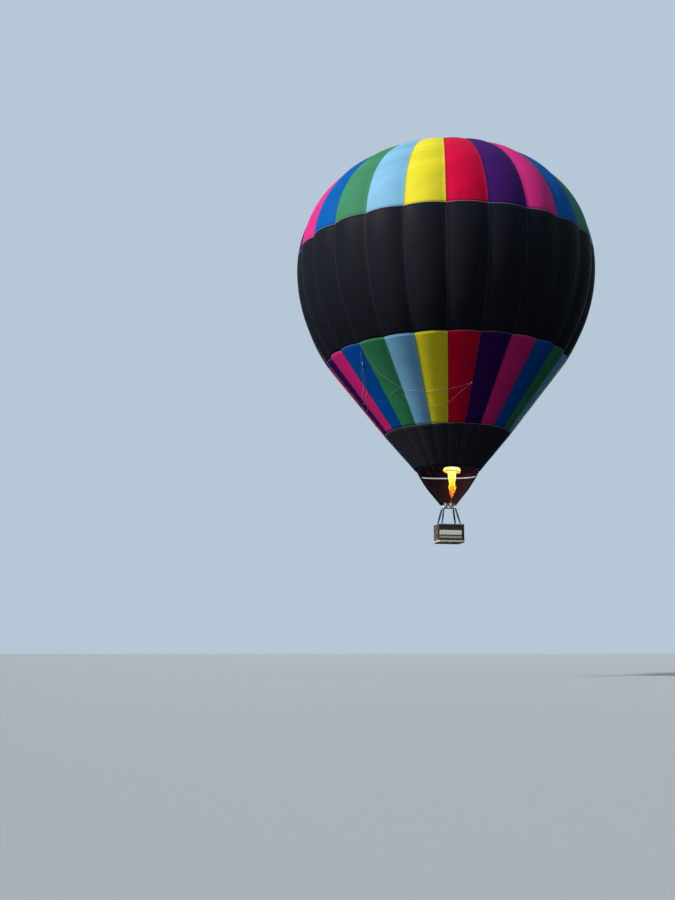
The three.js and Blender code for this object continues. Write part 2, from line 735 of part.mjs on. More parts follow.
add("envelope_crown", envelopeCrown(), looks.crown);
add("envelope_belt", envelopeBelt(), looks.black);
add("envelope_stripes", envelopeStripes(), looks.stripes);
add("envelope_base", envelopeBase(), looks.black);
add("parachute_valve", parachuteValve(), looks.valve);
add("crown_tapes", crownTapes(), looks.tape);
add("mouth_tape", mouthTape(), looks.tape);
add("scoop", scoop(), looks.scoop);
add("load_frame", loadFrame(), looks.steel);
add("gimbal_ring", gimbalRing(), looks.steel);
add("burner_block", burnerBlock(), looks.brass);
for (const [side, x] of [["left", -canX], ["right", canX]]) {
  add(`burner_can_${side}`, burnerCan(x), looks.steel);
  add(`burner_coil_${side}`, burnerCoil(x), looks.steel);
}
for (const corner of corners) {
  add(`flying_wires_${corner.name}`, flyingWires(corner), looks.cable);
  add(`upright_${corner.name}`, upright(corner), looks.cover);
  add(`basket_corner_${corner.name}`, basketCorner(corner), looks.hide);
  add(`fuel_cylinder_${corner.name}`, fuelCylinder(corner), looks.cylinder);
}
add("basket_wall_front", longWall(-1), looks.wicker);
add("basket_wall_back", longWall(1), looks.wicker);
add("basket_wall_left", shortWall(-1), looks.wicker);
add("basket_wall_right", shortWall(1), looks.wicker);
add("basket_rim", basketRim(), looks.suede);
add("basket_floor", basketFloor(), looks.wood);
add("base_band", baseBand(), looks.hide);
for (const [name, y] of [["front", -RUNNER_SPACING], ["middle", 0], ["back", RUNNER_SPACING]])
  add(`runner_${name}`, runner(y), looks.wood);
add("banner", banner(), looks.cloth);

export default balloon;
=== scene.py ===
"""Looks for a manned hot air balloon: cloth envelope, scoop, burner, wicker basket and rigging."""

import math

import bpy
import numpy as np
from mathutils import Matrix, Vector


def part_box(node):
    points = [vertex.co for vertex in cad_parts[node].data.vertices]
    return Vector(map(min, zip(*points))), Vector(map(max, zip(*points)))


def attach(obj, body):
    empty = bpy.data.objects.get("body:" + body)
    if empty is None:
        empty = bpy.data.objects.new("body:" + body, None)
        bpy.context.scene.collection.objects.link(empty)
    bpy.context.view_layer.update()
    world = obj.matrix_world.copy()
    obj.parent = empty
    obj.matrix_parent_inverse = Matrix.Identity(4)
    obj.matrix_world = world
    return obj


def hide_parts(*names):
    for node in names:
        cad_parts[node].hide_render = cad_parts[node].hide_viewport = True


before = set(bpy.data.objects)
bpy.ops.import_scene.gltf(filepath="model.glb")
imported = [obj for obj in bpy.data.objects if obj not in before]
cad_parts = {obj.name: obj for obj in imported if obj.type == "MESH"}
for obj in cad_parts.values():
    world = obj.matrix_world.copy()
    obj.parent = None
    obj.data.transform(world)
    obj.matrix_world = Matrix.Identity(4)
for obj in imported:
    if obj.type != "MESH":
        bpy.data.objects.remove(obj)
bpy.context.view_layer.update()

# Envelope, in metres
GORES = 24
GORE_ANGLE = 2 * math.pi / GORES
GORE_BULGE = 0.023
EQUATOR_RADIUS = 9.45
CROWN_HEIGHT = 8.01
CROWN_POWER = 2.065
LOWER_HALF_AXIS = 10.0
CONE_START = -6.385
CONE_APEX = -15.66
BELT_TOP = 0.90
BELT_BOTTOM = -6.07
STRIPES_BOTTOM = -10.68
MOUTH = -12.90
MOUTH_RADIUS = 2.020
VENT_RADIUS = 2.90
VALVE_RADIUS = 3.30
VALVE_PATCH_RADIUS = 0.05
CROWN_RING_RADIUS = 0.145
SHELL = 0.010
GAP = 0.0003
TAPE_HALF = 0.010
STRAP_HALF = 0.0125
STRAP_THICKNESS = 0.004
HEM_RADIUS = 0.008
TAPE_DEPTHS = (-0.0015, 0.006)
TAPE_ROW = 0.22
STRAP_ROW = 0.2

# Strips round the skin: from and to this far below a station, and how far they stand out
SEAM_STRIP = (-0.013, 0.013, 0.0008)
EDGE_STRIP = (-0.022, -0.002, 0.0025)
STRIP_DEPTH = 0.004

# How finely the cloth is built: columns to a gore, metres between rows, and a small step along the skin
ACROSS = 10
CLOTH_ROW = 0.16
STEP = 1e-3

# Puckers beside each seam: depth, length along it, how far they reach and where they start
PUCKER = 0.006
PUCKER_LENGTH = 0.75
PUCKER_REACH = 0.22
PUCKER_START = 0.05

# Scoop: where it starts and ends, how far it stands out past the line of the wires on its way down, and the
# depths at which each layer of it lies
SCOOP_BOTTOM = -15.03
SCOOP_FIRST_TAPE = -2
SCOOP_GORES = 14
SCOOP_BELLY = ((0.20, 0.084), (0.40, 0.104), (0.57, 0.098), (0.75, 0.058), (0.88, 0.024), (1.0, 0.016))
SCOOP_ROWS = 40
SCOOP_BULGE = 0.030
SCOOP_RIPPLE = 0.008
SCOOP_MEAN_RADIUS = 1.3
SCOOP_GAP = 0.001
SCOOP_BINDING = 0.070
SEAM_RADIUS = 0.005
SEAM_DEPTH = 0.007
CLOTH_DEPTHS = (0.0, 0.004)
BINDING_DEPTHS = (0.0045, 0.0085)
RIBBON_DEPTHS = (0.0125, 0.0165)
RIBBON_LOW = -13.14
RIBBON_DIP = 0.110
RIBBON_HEIGHT = 0.080

# Burner frame and burner, in metres
FRAME_Z = -15.24
FRAME_SIZE = (0.77, 0.48)
FRAME_TUBE = 0.040
FRAME_BEND = 0.040
LUG_HEIGHT = 0.040
GIMBAL_SIZE = (0.63, 0.34)
GIMBAL_TUBE = 0.025
GIMBAL_BEND = 0.032
PIN_RADIUS = 0.012
MANIFOLD_HALF = (0.26, 0.03, 0.02)
CAN_X = 0.175
CAN_RADIUS = 0.150
CAN_WALL = 0.002
CAN_BOTTOM = -15.15
CAN_HEIGHT = 0.190
CAN_TAPER = 0.022
TAPER_HEIGHT = 0.03
BEAD_HEIGHT = 0.15
BEAD = 0.002
COIL_RADIUS = 0.100
COIL_TUBE = 0.0095
JET_RADIUS = 0.055
JET_TUBE = 0.007
COIL_TURNS = 9

# Basket, in metres, but the rim's pinches and stitches are spaced by points of its path. Footholds are places
# across and up in each end wall
RIM_TOP = -16.27
RIM_HEIGHT = 0.08
RIM_WIDTH = 0.09
RIM_OVERHANG = 0.02
RIM_PINCH = 0.035
RIM_POINTS = 260
PINCH_SPACING = 6.5
STITCH_SPACING = 5
BASKET_BOTTOM = -17.43
BASKET_SIZE = (1.68, 1.10)
HALF_BASKET = (BASKET_SIZE[0] / 2, BASKET_SIZE[1] / 2)
CORNER_RADIUS = 0.12
WALL = 0.05
WALL_BOTTOM = BASKET_BOTTOM + 0.04
WALL_TOP = RIM_TOP - RIM_HEIGHT
BAND_HEIGHT = 0.110
BAND = 0.008
BAND_POINTS = 240
LACING_SPACING = 0.055
FOOTHOLDS = ((-0.17, -16.99), (0.17, -16.64))
FOOTHOLD_HALF = (0.078, 0.058)
FOOTHOLD_TRIM = (0.165, 0.125)
UPRIGHT_RADII = (0.040, 0.064, 0.050)
UPRIGHT_FOOT_X = 0.58
UPRIGHT_INSET = 0.004
CYLINDER_RADIUS = 0.14
CYLINDER_TOP = 0.84
GRIP_X = 0.56
GRIP_DROP = 0.135
GRIP_HALF = 0.105
GRIP_RIVET = 0.096
GRIP_THICKNESS = 0.004
STAKE = 0.062
CANE = 0.019
WEAVE_DEPTH = 0.0045

# Corners seen from above: the quarters in turn from +X, and the basket's by name
QUARTERS = ((1, 1), (-1, 1), (-1, -1), (1, -1))
CORNERS = {"front_left": (-1, -1), "front_right": (1, -1), "back_left": (-1, 1), "back_right": (1, 1)}

# Knots and cords over the lower band: degrees to the right of the basket's front, heights and radii
CORD_LIFT = 0.03
LEFT_KNOT = (-63.5, -7.09)
MIDDLE_KNOT = (-0.5, -8.59)
VENT_CORDS = (
    (0.008, [LEFT_KNOT, (-70.7, -7.85), (-80.7, -8.51), (-93.0, -8.87)]),
    (0.008, [LEFT_KNOT, (-67.6, -7.81), (-75.1, -8.44), (-86.0, -9.00), (-94.5, -9.28)]),
    (0.007, [(-61.1, -6.51), LEFT_KNOT]),
    (0.005, [(-58.5, -6.25), (-59.0, -6.75), (-55.1, -7.85), (-50.1, -8.30), (-46.0, -8.64), (-41.6, -8.87),
             (-30.0, -9.01), (-14.7, -8.94)]),
    (0.006, [(-14.7, -8.94), (-7.6, -8.83), MIDDLE_KNOT]),
    (0.006, [MIDDLE_KNOT, (-6.7, -9.08), (-13.0, -9.54), (-21.2, -9.77)]),
    (0.0035, [(-21.2, -9.77), (-33.1, -9.70), (-39.8, -9.54), (-46.0, -9.14), (-48.8, -8.74)]),
    (0.004, [(-56.5, -9.02), (-50.5, -8.80), (-44.7, -8.61)]),
)

# Flame: height, radius and lean to the right, from the root up the stem, then out under the head and over it
FLAME_OUTLINE = (
    (-14.98, 0.02, 0.0), (-14.75, 0.028, 0.01), (-14.55, 0.042, 0.03), (-14.48, 0.07, 0.04),
    (-14.40, 0.105, 0.05), (-14.30, 0.15, 0.06), (-14.18, 0.18, 0.075), (-14.05, 0.20, 0.085),
    (-13.98, 0.235, 0.09), (-13.91, 0.235, 0.09), (-13.82, 0.195, 0.09), (-13.62, 0.19, 0.09),
    (-13.42, 0.23, 0.09), (-13.15, 0.25, 0.08), (-13.03, 0.255, 0.07), (-12.97, 0.32, 0.06),
    (-12.95, 0.43, 0.06), (-12.94, 0.49, 0.06), (-12.90, 0.53, 0.06), (-12.84, 0.535, 0.06),
    (-12.78, 0.515, 0.06), (-12.74, 0.475, 0.06), (-12.71, 0.40, 0.06), (-12.70, 0.27, 0.06),
    (-12.695, 0.13, 0.06), (-12.69, 0.01, 0.06),
)
FLAME_BOTTOM = FLAME_OUTLINE[0][0]
FLAME_TOP = FLAME_OUTLINE[-1][0]
FLAME_SKIRT = -12.88
FLAME_DROOP = -12.96
FLAME_ROWS = 110
FLAME_COLUMNS = 48

# The photograph's camera: a balloon 68 m off, seen from eye height and to the left of the basket's front
CAMERA_AZIMUTH = -16.1
CAMERA_ALONG = 67.49
CAMERA_ACROSS = 6.86
CAMERA_BELOW = 23.99
CAMERA_PITCH = 10.41
CAMERA_LENS = 44.0
EYE_HEIGHT = 1.5

# Lamps: degrees to the right of the camera and up, energy, spread in degrees, and colour
LAMPS = {
    "key": (-60.0, 38.0, 2.8, 5.0, (1.0, 0.97, 0.93)),
    "fill": (-65.0, 5.0, 0.3, 60.0, (0.92, 0.96, 1.0)),
    "bounce": (-22.0, -12.0, 0.8, 60.0, (1.0, 0.98, 0.92)),
    "back": (180.0, 12.0, 0.9, 40.0, (0.96, 0.98, 1.0)),
}

# The soft light's colour, and its strength from one height in the sky to another
WORLD_COLOUR = (0.62, 0.84, 1.0)
WORLD_HEIGHTS = (-0.10, 0.50)
WORLD_STRENGTHS = (0.06, 0.44)
BACKDROP_COLOUR = (0.47, 0.57, 0.68)
FLOOR_COLOUR = (0.45, 0.46, 0.47)
FLOOR_HALF = 900.0

# Gore colours in turn round the envelope, anticlockwise from the gore that starts this many degrees from +X,
# and the power that darkens them on the lower band as painted shade
FIRST_GORE = -105
GORE_COLOURS = (
    "red purple pink blue green light_blue yellow red purple pink blue green "
    "light_blue blue green light_blue yellow red purple pink blue green light_blue yellow"
).split()
CLOTH = {
    "pink": (0.80, 0.035, 0.25),
    "blue": (0.001, 0.117, 0.44),
    "green": (0.060, 0.27, 0.13),
    "light_blue": (0.243, 0.52, 0.75),
    "yellow": (0.87, 0.745, 0.036),
    "red": (0.68, 0.004, 0.050),
    "purple": (0.057, 0.011, 0.14),
    "black": (0.0125, 0.0135, 0.0205),
}
PAINTED_SHADE_POWER = 1.15
# One padded cover cloth, darker from the front-left cover to the back-right one, away from the key light:
# painted shade
SHADED_COVER_COLOURS = {
    "front_left": (0.022, 0.115, 0.27),
    "front_right": (0.010, 0.018, 0.075),
    "back_left": (0.012, 0.045, 0.13),
    "back_right": (0.006, 0.008, 0.045),
}

# Banner: where each stripe starts, as a share of its height, and its colour
BANNER_DARK = (0.030, 0.034, 0.022)
BANNER_STRIPES = (
    (0.0, BANNER_DARK), (0.14, (0.42, 0.45, 0.33)), (0.33, BANNER_DARK), (0.44, (0.93, 0.90, 0.84)),
    (0.83, BANNER_DARK),
)


# Materials

def add_node(tree, kind, *sources, **settings):
    """A node: sources feed its first inputs, and a setting is an input's value or link, or a property."""
    made = tree.nodes.new("ShaderNode" + kind)
    for key, value in [*enumerate(sources), *settings.items()]:
        socket = key.replace("_", " ") if isinstance(key, str) else key
        if isinstance(key, str) and socket not in made.inputs:
            setattr(made, key, value)
        elif isinstance(value, bpy.types.NodeSocket):
            tree.links.new(value, made.inputs[socket])
        else:
            made.inputs[socket].default_value = value
    return made


def shaded(colour, factor):
    return tuple(min(1.0, c * factor) for c in colour)


class Look:
    """A Principled material, with short calls for the texture nodes that feed its shader."""

    def __init__(self, name, base, roughness=0.5, metallic=0.0, **sockets):
        """Further sockets of the shader are given by name, with _ for a space."""
        self.base = base
        self.roughness = roughness
        self.material = bpy.data.materials.new(name)
        self.material.use_nodes = True
        self.tree = self.material.node_tree
        self.shader = self.tree.nodes["Principled BSDF"]
        sockets.update(Base_Color=(*base, 1), Roughness=roughness, Metallic=metallic)
        for key, value in sockets.items():
            self.shader.inputs[key.replace("_", " ")].default_value = value

    def node(self, kind, *sources, **settings):
        return add_node(self.tree, kind, *sources, **settings)

    def feed(self, source, socket):
        self.tree.links.new(source, self.shader.inputs[socket])

    def place(self, scale=(1, 1, 1), attribute=None):
        """Coordinates of the surface: those stored under a name, or the object's."""
        if attribute:
            source = self.node("Attribute", attribute_name=attribute).outputs["Vector"]
        else:
            source = self.node("TexCoord").outputs["Object"]
        return self.node("Mapping", source, Scale=scale).outputs["Vector"]

    def height(self, low, high):
        """How far up a point lies between two heights, from 0 to 1."""
        split = self.node("SeparateXYZ", self.node("TexCoord").outputs["Object"])
        return self.between(split.outputs["Z"], low, high)

    def between(self, source, low, high, to_low=0.0, to_high=1.0):
        return self.node("MapRange", source, low, high, to_low, to_high).outputs["Result"]

    def noise(self, place, scale, detail=4.0, roughness=0.55):
        made = self.node("TexNoise", place, Scale=scale, Detail=detail, Roughness=roughness)
        return made.outputs["Fac"]

    def bands(self, place, scale, direction):
        made = self.node("TexWave", place, Scale=scale, wave_type="BANDS", bands_direction=direction)
        return made.outputs["Fac"]

    def ramp(self, source, stops):
        made = self.node("ValToRGB", source)
        elements = made.color_ramp.elements
        while len(elements) < len(stops):
            elements.new(0.5)
        for element, (at, colour) in zip(elements, stops):
            element.position = at
            element.color = (*colour, 1)
        return made

    def colour(self, source, stops, socket="Base Color"):
        """Colours the surface by a texture, with a ramp from stop to stop."""
        made = self.ramp(source, stops)
        self.feed(made.outputs["Color"], socket)
        return made

    def vary(self, source, low, high):
        """Tints the base colour between two shares of itself by a texture."""
        self.colour(source, [(0.3, shaded(self.base, low)), (0.7, shaded(self.base, high))])

    def roughen(self, source, low, high):
        """Moves the roughness by a texture, from low below its own value to high above it."""
        self.feed(self.between(source, 0, 1, self.roughness - low, self.roughness + high), "Roughness")

    def bump(self, height, strength, distance, under=None):
        made = self.node("Bump", Strength=strength, Distance=distance, Height=height)
        if under is not None:
            self.tree.links.new(under, made.inputs["Normal"])
        self.feed(made.outputs["Normal"], "Normal")
        return made.outputs["Normal"]


def ripstop(name, base, roughness=0.5, gloss=0.03, **sockets):
    """Coated ripstop cloth: a 6 mm grid of thicker threads, soft puckers, and slight fading."""
    look = Look(name, base, roughness, Specular_IOR_Level=gloss, **sockets)
    cloth = look.place(attribute="cloth")
    look.vary(look.noise(cloth, 0.35, 3.0), 0.90, 1.08)
    look.roughen(look.noise(cloth, 2.2, 5.0), 0.06, 0.10)
    puckers = look.noise(look.place((1.4, 3.2, 1.0), "cloth"), 1.6, 4.0, 0.6)
    soft = look.bump(puckers, 0.35, 0.02)
    threads = [look.bands(cloth, 26.0, direction) for direction in "XY"]
    grid = look.node("Math", *threads, operation="MAXIMUM")
    look.bump(grid.outputs["Value"], 0.12, 0.0006, soft)
    return look.material


def webbing(name, base, **sockets):
    """Woven tape with a fine rib across it."""
    look = Look(name, base, 0.7, **sockets)
    spot = look.place()
    look.vary(look.noise(spot, 30.0), 0.8, 1.15)
    look.bump(look.bands(spot, 90.0, "DIAGONAL"), 0.4, 0.001)
    return look.material


def leather(name, base, roughness=0.6, suede=0.0):
    """Hide with a pebbled grain, scuffs, and a nap where it is suede."""
    look = Look(name, base, roughness, Sheen_Weight=suede)
    spot = look.place()
    look.vary(look.noise(spot, 9.0, 6.0, 0.65), 0.6, 1.5)
    grain = look.node("TexVoronoi", spot, Scale=140.0)
    fine = look.bump(grain.outputs["Distance"], 0.5, 0.0015)
    look.bump(look.noise(spot, 14.0, 5.0), 0.5, 0.006, fine)
    look.roughen(look.noise(spot, 6.0), 0.12, 0.15)
    return look.material


def padded_cloth(name, base):
    """Heavy proofed cloth over a pad, with soft creases."""
    look = Look(name, base, 0.7, Sheen_Weight=0.25)
    spot = look.place()
    look.vary(look.noise(spot, 5.0, 5.0), 0.72, 1.25)
    fine = look.bump(look.bands(spot, 160.0, "Z"), 0.3, 0.0008)
    look.bump(look.noise(look.place((6, 6, 14)), 1.2, 4.0), 0.6, 0.012, fine)
    return look.material


def metal(name, base, roughness=0.3, heated=False):
    """Worked metal with fine brush marks and uneven staining, or blued and browned by heat."""
    look = Look(name, base, roughness, 1.0)
    spot = look.place()
    if heated:
        brown, blue = (0.42, 0.36, 0.28), (0.28, 0.34, 0.42)
        tints = [(0.30, shaded(base, 0.45)), (0.48, base), (0.58, brown), (0.70, blue)]
        look.colour(look.noise(look.place((1, 1, 2.2)), 5.0, 5.0, 0.6), tints)
    else:
        look.vary(look.noise(spot, 7.0, 5.0), 0.75, 1.1)
    look.bump(look.noise(look.place((1, 1, 60.0)), 6.0, 3.0), 0.12, 0.0006)
    look.roughen(look.noise(spot, 12.0, 4.0), 0.08, 0.18)
    return look.material


def cane(name, base):
    """Woven cane: each strand has its own shade, with patches of dirt and a lengthwise grain."""
    look = Look(name, base, 0.55)
    strand = look.node("VectorMath", look.place(attribute="weave"), operation="FLOOR")
    shade = look.node("TexWhiteNoise", strand.outputs["Vector"], noise_dimensions="3D")
    shares = ((0.0, 0.55), (0.4, 0.85), (0.75, 1.2), (1.0, 1.55))
    tone = look.ramp(shade.outputs["Value"], [(at, shaded(base, share)) for at, share in shares])
    dirty, clean = (0.55, 0.52, 0.48), (1.0, 1.0, 1.0)
    dirt = look.ramp(look.noise(look.place(), 3.5, 5.0), [(0.35, dirty), (0.65, clean)])
    mix = look.node("Mix", data_type="RGBA", blend_type="MULTIPLY", clamp_result=False, Factor=1.0)
    colour_a, colour_b = [socket for socket in mix.inputs if socket.type == "RGBA"]
    look.tree.links.new(tone.outputs["Color"], colour_a)
    look.tree.links.new(dirt.outputs["Color"], colour_b)
    look.feed(next(socket for socket in mix.outputs if socket.type == "RGBA"), "Base Color")
    look.bump(look.noise(look.place((8, 8, 160)), 4.0, 4.0), 0.35, 0.0012)
    return look.material


def timber(name, base):
    """Planed wood with its grain along X."""
    look = Look(name, base)
    grain = look.noise(look.place((1, 14, 14)), 3.0, 6.0, 0.6)
    look.vary(grain, 0.65, 1.2)
    look.bump(grain, 0.25, 0.001)
    return look.material


def burning_gas(name, strength, stops):
    """A flame's light, by height: broken into licks in the stem and even in the head."""
    look = Look(name, (0, 0, 0), 1.0, Specular_IOR_Level=0.0, Emission_Strength=strength)
    height = look.height(FLAME_BOTTOM, FLAME_TOP)
    licks = look.between(look.noise(look.place((1, 1, 0.7)), 6.5, 2.0), 0.36, 0.64, -1.0, 1.0)
    reach = look.between(height, 0.70, 0.85, 0.17, 0.05)
    broken = look.node("Math", licks, reach, height, operation="MULTIPLY_ADD")
    look.colour(broken.outputs["Value"], stops, "Emission Color")
    return look.material


def striped_cloth(name, low, high):
    """The banner's plain stripes across a dark ground, over its height."""
    look = Look(name, (0.5, 0.5, 0.46), 0.6)
    look.colour(look.height(low, high), BANNER_STRIPES).color_ramp.interpolation = "CONSTANT"
    look.bump(look.noise(look.place(), 7.0), 0.4, 0.01)
    return look.material


cloths = {
    name: ripstop(f"cloth_{name}", base, gloss=0.06 if name == "black" else 0.03)
    for name, base in CLOTH.items()
}
# Darker copies of the cloth colours for the lower band: painted shade
painted_shade_cloths = {
    name: ripstop(f"deep_cloth_{name}", tuple(c ** PAINTED_SHADE_POWER for c in base)) for name, base in CLOTH.items()
}
seam_cloths = {name: ripstop(f"seam_{name}", shaded(base, 0.93), 0.6) for name, base in CLOTH.items()}
base_outside = ripstop("cloth_base", (0.027, 0.029, 0.040))
# The inside of the base glows faintly maroon: painted light
base_inside = ripstop(
    "cloth_base_inside", (0.10, 0.040, 0.050), Emission_Color=(0.36, 0.14, 0.18, 1), Emission_Strength=0.013
)
scoop_outside = ripstop("scoop_outside", (0.008, 0.008, 0.011), 0.6)
scoop_inside = ripstop("scoop_inside", (0.17, 0.062, 0.078), 0.65)
scoop_edge = ripstop("scoop_edge", (0.008, 0.008, 0.011), 0.6)
scoop_tape = webbing("scoop_tape", (0.030, 0.014, 0.018))
tape_dark = webbing("tape_dark", (0.035, 0.035, 0.045))
tape_white = webbing("tape_white", (0.80, 0.80, 0.88))
# The mouth's ribbon glows a little, so it stays bright white in the shade under the envelope: painted light
ribbon_white = webbing(
    "mouth_white", (0.88, 0.88, 0.94), Emission_Color=(0.88, 0.86, 1.0, 1), Emission_Strength=0.5
)
edge_pale = webbing("edge_pale", (0.30, 0.31, 0.34))
cord_white = webbing("cord_white", (0.55, 0.60, 0.70))
lace = webbing("lace", (0.16, 0.12, 0.08))
dial_white = webbing("dial_white", (0.8, 0.8, 0.78))
wire_rope = metal("wire_rope", (0.20, 0.21, 0.24), 0.4)
steel = metal("steel", (0.78, 0.81, 0.82), 0.32)
steel_dark = metal("steel_dark", (0.30, 0.36, 0.38), 0.35)
brass = metal("brass", (0.55, 0.42, 0.20), 0.32)
heat_steel = metal("heat_steel", (0.66, 0.69, 0.70), heated=True)
coil_steel = metal("coil_steel", (0.36, 0.33, 0.30), 0.4)
cylinder_metal = metal("cylinder_metal", (0.60, 0.62, 0.63))
# Lit and shaded copies of the cover cloth: painted shade
shaded_cover_cloths = {name: padded_cloth(f"cover_{name}", base) for name, base in SHADED_COVER_COLOURS.items()}
wicker = cane("wicker", (0.050, 0.044, 0.030))
# The end walls take a lighter copy of the cane than the front and back: painted light, where the key light
# falls on the left end
wicker_ends_painted_lit = cane("wicker_ends_painted_lit", (0.19, 0.16, 0.125))
hide = leather("hide", (0.030, 0.022, 0.017))
rawhide = leather("rawhide", (0.72, 0.63, 0.46))
suede = leather("suede", (0.18, 0.21, 0.29), 0.85, 0.4)
black_plastic = leather("black_plastic", (0.012, 0.012, 0.013), 0.45)
wood = timber("wood", (0.30, 0.20, 0.10))
flame_glow = burning_gas("flame_glow", 2.6, (
    (0.02, (0.010, 0.004, 0.002)), (0.14, (0.10, 0.028, 0.008)), (0.25, (0.36, 0.085, 0.005)),
    (0.37, (0.44, 0.14, 0.006)), (0.48, (0.50, 0.29, 0.012)), (0.64, (0.54, 0.45, 0.040)),
    (0.84, (0.58, 0.54, 0.10)), (0.94, (0.61, 0.59, 0.24)),
))
flame_edge = burning_gas("flame_edge", 2.4, (
    (0.78, (0.48, 0.13, 0.006)), (0.88, (0.52, 0.25, 0.012)), (0.98, (0.58, 0.46, 0.06)),
))


# Paths and points

def polar(radius, angle, z=0.0, centre=(0, 0)):
    return Vector((centre[0] + radius * math.cos(angle), centre[1] + radius * math.sin(angle), z))


def circle(radius, z, count, centre=(0, 0)):
    return [polar(radius, 2 * math.pi * k / count, z, centre) for k in range(count)]


def rounded_rectangle(size, radius, z=0.0, per_corner=8):
    """A closed path round a rounded rectangle, at one height."""
    path = []
    for quarter, (sx, sy) in enumerate(QUARTERS):
        centre = (sx * (size[0] / 2 - radius), sy * (size[1] / 2 - radius))
        for k in range(per_corner + 1):
            path.append(polar(radius, math.pi / 2 * (quarter + k / per_corner), z, centre))
    return path


def running_length(points):
    return np.concatenate([[0], np.cumsum(np.linalg.norm(np.diff(points, axis=0), axis=1))])


def resample(path, count):
    """Points a like distance apart round a closed path."""
    points = np.array([*path, path[0]], float)
    run = running_length(points)
    at = np.linspace(0, run[-1], count + 1)[:-1]
    return [Vector([float(np.interp(s, run, points[:, axis])) for axis in range(3)]) for s in at]


def smooth_path(points, count):
    """A smooth curve through points, by Catmull-Rom."""
    extended = [points[0] * 2 - points[1], *points, points[-1] * 2 - points[-2]]
    found = []
    for k in range(count):
        s = k / (count - 1) * (len(points) - 1)
        i = min(int(s), len(points) - 2)
        t = s - i
        a, b, c, d = extended[i:i + 4]
        bend = (2 * a - 5 * b + 4 * c - d) * t * t + (3 * b - a - 3 * c + d) * t * t * t
        found.append(0.5 * (2 * b + (c - a) * t + bend))
    return found


def along_and_out(path, k):
    """The directions along and out of a closed level path at one of its points."""
    ahead = (path[(k + 1) % len(path)] - path[k - 1]).normalized()
    return ahead, ahead.cross(Vector((0, 0, 1)))


def frames_along(path):
    """Each point of a path with two directions across it, turned as little as possible."""
    path = [Vector(p) for p in path]
    found = []
    side = None
    for i, point in enumerate(path):
        ahead = (path[min(i + 1, len(path) - 1)] - path[max(i - 1, 0)]).normalized()
        side = side or ahead.orthogonal().normalized()
        side = (side - ahead * side.dot(ahead)).normalized()
        found.append((point, side, ahead.cross(side)))
    return found


# Parts of a mesh, each as vertices and faces

def loft_faces(rings, sides, closed=False):
    """Faces between rings of points in turn, capped at both ends unless the last ring meets the first."""
    faces = []
    for i in range(rings if closed else rings - 1):
        j = (i + 1) % rings
        for k in range(sides):
            n = (k + 1) % sides
            faces.append([i * sides + k, i * sides + n, j * sides + n, j * sides + k])
    if not closed:
        faces.append(list(range(sides))[::-1])
        faces.append([(rings - 1) * sides + k for k in range(sides)])
    return faces


def tube(path, radius, sides=12, closed=False):
    """A tube along a path; radius may be one number or one for each point."""
    radii = radius if hasattr(radius, "__len__") else [radius] * len(path)
    stations = frames_along([path[-1], *path, path[0]])[1:-1] if closed else frames_along(path)
    vertices = []
    for (point, side, up), r in zip(stations, radii):
        for k in range(sides):
            angle = 2 * math.pi * k / sides
            vertices.append(point + r * (side * math.cos(angle) + up * math.sin(angle)))
    return vertices, loft_faces(len(path), sides, closed)


def lathe(outline, sides=32, centre=(0, 0), base=0.0):
    """A closed outline of (radius, height above base) turned about a vertical axis."""
    vertices, faces, rings = [], [], []
    for r, z in outline:
        ring = circle(r, base + z, sides, centre) if r > 0 else [(centre[0], centre[1], base + z)]
        rings.append(range(len(vertices), len(vertices) + len(ring)))
        vertices += ring
    pairs = list(zip(rings, rings[1:]))
    if outline[0][0] > 0 or outline[-1][0] > 0:
        pairs.append((rings[-1], rings[0]))
    for low, high in pairs:
        for k in range(sides):
            n = (k + 1) % sides
            corners = [low[k % len(low)], low[n % len(low)], high[n % len(high)], high[k % len(high)]]
            face = list(dict.fromkeys(corners))
            if len(face) > 2:
                faces.append(face)
    return vertices, faces


def box(low, high):
    corners = [(x, y, z) for x in (low[0], high[0]) for y in (low[1], high[1]) for z in (low[2], high[2])]
    return corners, [(0, 1, 3, 2), (4, 6, 7, 5), (0, 4, 5, 1), (2, 3, 7, 6), (0, 2, 6, 4), (1, 5, 7, 3)]


def grid_shell(outer, inner, keep=None, closed=False):
    """A shell between two grids of points (rows down, columns round), then each face's column and side.

    keep marks the cells that are there, so that a shell can have holes. The side is 0 outside, 1 inside and
    2 at an edge.
    """
    outer, inner = np.asarray(outer), np.asarray(inner)
    rows, columns = outer.shape[:2]
    cells = columns if closed else columns - 1
    present = np.zeros((rows + 1, cells + 2), bool)
    present[1:-1, 1:-1] = True if keep is None else keep
    if closed:
        present[:, 0], present[:, -1] = present[:, -2], present[:, 1]
    faces, column_of, side_of = [], [], []

    def add(column, side, corners):
        faces.append([depth * rows * columns + i * columns + j % columns for (i, j), depth in corners])
        column_of.append(column)
        side_of.append(side)

    for i in range(rows - 1):
        for j in range(cells):
            if not present[i + 1, j + 1]:
                continue
            a, b, c, d = (i, j), (i + 1, j), (i + 1, j + 1), (i, j + 1)
            add(j, 0, [(p, 0) for p in (a, b, c, d)])
            add(j, 1, [(p, 1) for p in (a, d, c, b)])
            edges = ((i, j + 1, d, a), (i + 2, j + 1, b, c), (i + 1, j, a, b), (i + 1, j + 2, c, d))
            for row, column, first, second in edges:
                if not present[row, column]:
                    add(j, 2, [(second, 0), (first, 0), (first, 1), (second, 1)])
    vertices = np.concatenate([outer.reshape(-1, 3), inner.reshape(-1, 3)])
    return vertices, faces, np.array(column_of), np.array(side_of)


# Pieces

def add_object(name, data):
    made = bpy.data.objects.new(name, data)
    bpy.context.scene.collection.objects.link(made)
    return made


def bevel(piece, width, segments):
    modifier = piece.modifiers.new("bevel", "BEVEL")
    modifier.width = width
    modifier.segments = segments
    modifier.limit_method = "ANGLE"
    bpy.context.view_layer.update()
    evaluated = piece.evaluated_get(bpy.context.evaluated_depsgraph_get())
    piece.data = bpy.data.meshes.new_from_object(evaluated)
    piece.modifiers.clear()


